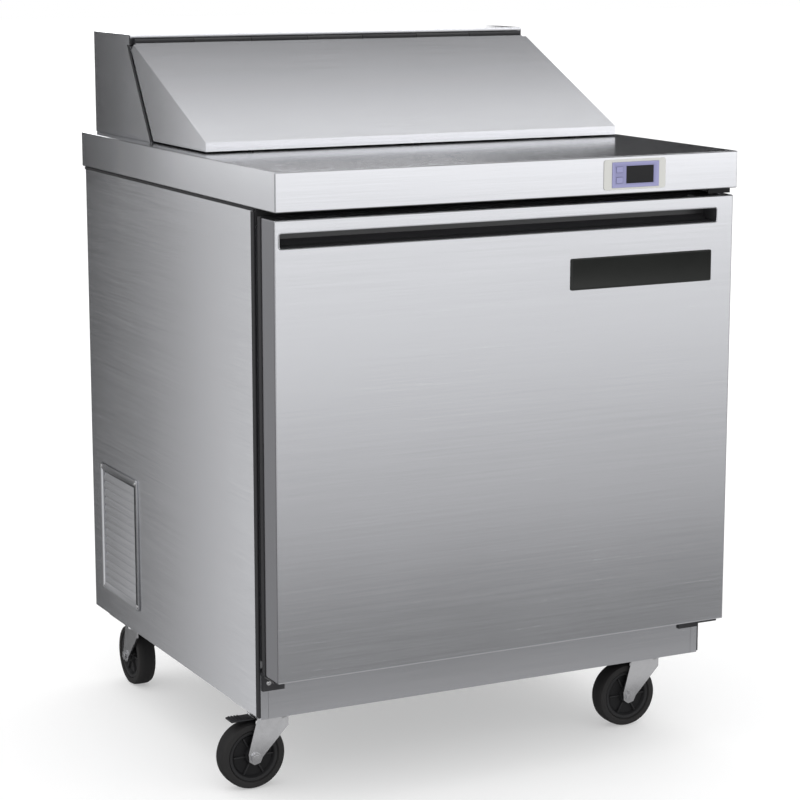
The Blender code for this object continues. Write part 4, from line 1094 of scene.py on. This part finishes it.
def make_cards():
    """The light that the steel reflects: graded cards before, beside, behind and over the object."""
    upright_card("card_front", (-1.0, -5.2), (5.0, -1.7), (0.0, 3.5), "Z",
                 [(0.0, 1.0), (0.45, 0.9), (0.75, 1.85), (1.15, 2.4), (1.8, 0.7), (2.85, 0.0)])
    level_card("card_floor", (-1.7, 5.0), (-4.2, -0.42), 0.002,
               [(-4.2, 1.3), (-3.6, 1.05), (-2.6, 0.6), (-1.9, 0.62), (-1.35, 0.33), (-0.9, 0.24),
                (-0.42, 0.6)])
    upright_card("card_side_low", (-2.2, 1.5), (-0.39, 1.5), (-1.6, 0.70), "X",
                 [(-2.2, 0.15), (-1.85, 0.25), (-1.40, 0.85), (-1.15, 1.05), (-0.95, 0.30), (-0.80, 0.14),
                  (-0.62, 0.0), (-0.39, 0.0)])
    upright_card("card_side_high", (-2.2, 1.5), (-0.39, 1.5), (0.70, 1.5), "X",
                 [(-2.2, 0.2), (-1.5, 0.9), (-1.2, 1.5), (-1.05, 1.3), (-0.98, 0.60), (-0.93, 0.05),
                  (-0.39, 0.0)])
    level_card("card_over", (-1.1, 2.2), (-0.5, 2.5), 1.9,
               [(-0.5, 0.0), (-0.05, 0.0), (0.1, 4.8), (0.24, 0.2), (0.42, 0.2), (0.57, 1.75), (0.72, 0.68),
                (0.95, 0.13), (1.3, 0.0), (2.5, 0.0)])
    upright_card("card_back", (-0.3, 3.0), (3.2, 3.0), (0.9, 3.0), "X",
                 [(-0.3, 3.4), (1.74, 3.4), (1.86, 0.0), (3.2, 0.0)])


SOFT_LIGHT = 1.22
# Brightness that reflections see away from the cards, by the sine of the height above the horizon.
ROOM_RAMP = [(-1.0, 0.16), (-0.30, 0.26), (0.0, 0.60), (0.4, 0.85), (1.0, 1.0)]


def make_world():
    """White to the eye and to soft light; to reflections, a room that is bright above and darker below."""
    world = bpy.data.worlds.new("studio")
    SCENE.world = world
    world.use_nodes = True
    tree = world.node_tree
    tree.nodes.clear()
    output = tree.nodes.new("ShaderNodeOutputWorld")
    path = tree.nodes.new("ShaderNodeLightPath")
    backdrop = tree.nodes.new("ShaderNodeBackground")
    soft = tree.nodes.new("ShaderNodeBackground")
    soft.inputs["Strength"].default_value = SOFT_LIGHT
    room = tree.nodes.new("ShaderNodeBackground")
    for plain in (backdrop, soft):
        plain.inputs["Color"].default_value = (1.0, 1.0, 1.0, 1.0)
    coordinates = tree.nodes.new("ShaderNodeTexCoord")
    split = tree.nodes.new("ShaderNodeSeparateXYZ")
    scale = tree.nodes.new("ShaderNodeMapRange")
    scale.inputs["From Min"].default_value = -1.0
    ramp = tree.nodes.new("ShaderNodeValToRGB")
    elements = ramp.color_ramp.elements
    elements.remove(elements[1])
    for index, (place, value) in enumerate(ROOM_RAMP):
        position = place / 2 + 0.5
        element = elements[0] if index == 0 else elements.new(position)
        element.position = position
        element.color = (value, value, value, 1.0)
    tree.links.new(coordinates.outputs["Generated"], split.inputs[0])
    tree.links.new(split.outputs["Z"], scale.inputs["Value"])
    tree.links.new(scale.outputs["Result"], ramp.inputs["Fac"])
    tree.links.new(ramp.outputs["Color"], room.inputs["Color"])
    shiny = tree.nodes.new("ShaderNodeMixShader")
    seen = tree.nodes.new("ShaderNodeMixShader")
    tree.links.new(path.outputs["Is Glossy Ray"], shiny.inputs[0])
    tree.links.new(soft.outputs[0], shiny.inputs[1])
    tree.links.new(room.outputs[0], shiny.inputs[2])
    tree.links.new(path.outputs["Is Camera Ray"], seen.inputs[0])
    tree.links.new(shiny.outputs[0], seen.inputs[1])
    tree.links.new(backdrop.outputs[0], seen.inputs[2])
    tree.links.new(seen.outputs[0], output.inputs[0])


CAMERA_AZIMUTH = math.radians(26.92)
CAMERA_PITCH = math.radians(10.89)
CAMERA_DISTANCE = 3.75
CAMERA_TARGET = Vector((-0.005, -0.027, 0.506))
CAMERA_LENS = 109.35


def make_camera():
    """A long lens to the front left, a little above the object."""
    camera = bpy.data.cameras.new("camera")
    camera.lens = CAMERA_LENS
    camera.sensor_width = 36.0
    obj = bpy.data.objects.new("camera", camera)
    SCENE.collection.objects.link(obj)
    level = math.cos(CAMERA_PITCH)
    ahead = math.cos(CAMERA_AZIMUTH) * level
    forward = Vector((math.sin(CAMERA_AZIMUTH) * level, ahead, -math.sin(CAMERA_PITCH)))
    obj.location = CAMERA_TARGET - forward * CAMERA_DISTANCE
    obj.rotation_euler = forward.to_track_quat("-Z", "Y").to_euler()
    SCENE.camera = obj


def make_studio():
    """The world's light, the cards and a plain white floor."""
    make_world()
    make_cards()
    floor_look = Builder("studio_floor", (0.66, 0.66, 0.66), 0.9)
    floor_look.shader.inputs["Specular IOR Level"].default_value = 0.0
    floor_look.shader.inputs["Emission Color"].default_value = (1.0, 1.0, 1.0, 1.0)
    floor_look.shader.inputs["Emission Strength"].default_value = 0.36
    bpy.ops.mesh.primitive_plane_add(size=60.0)
    floor = bpy.context.object
    floor.name = "studio_floor"
    floor.data.materials.append(floor_look.material)
    floor.visible_glossy = False
    SCENE.view_settings.view_transform = "Standard"


make_camera()
paint_nodes()
for node, width in (("counter_top", 0.0008), ("hood", 0.0012), ("lid_skin", 0.0008)):
    soften(node, width)
make_counter_shade_strips()
make_gap_shade_strip()
make_hinge_gap_shade()
make_hinge_ends()
make_nosing()
make_hood_trim()
make_lid_bumpers()
make_pull_bead()
make_gasket()
make_door_edge_shade()
make_badge()
make_bracket_screws()
make_controller_plate()
make_vent()
make_vent_screws()
make_pans()
make_shelf()
make_fan_guard()
make_evaporator_screws()
make_louvres()
make_rear_screws()
make_locknut()
make_compressor_detail()
for corner in CORNERS:
    make_caster(corner)
make_studio()
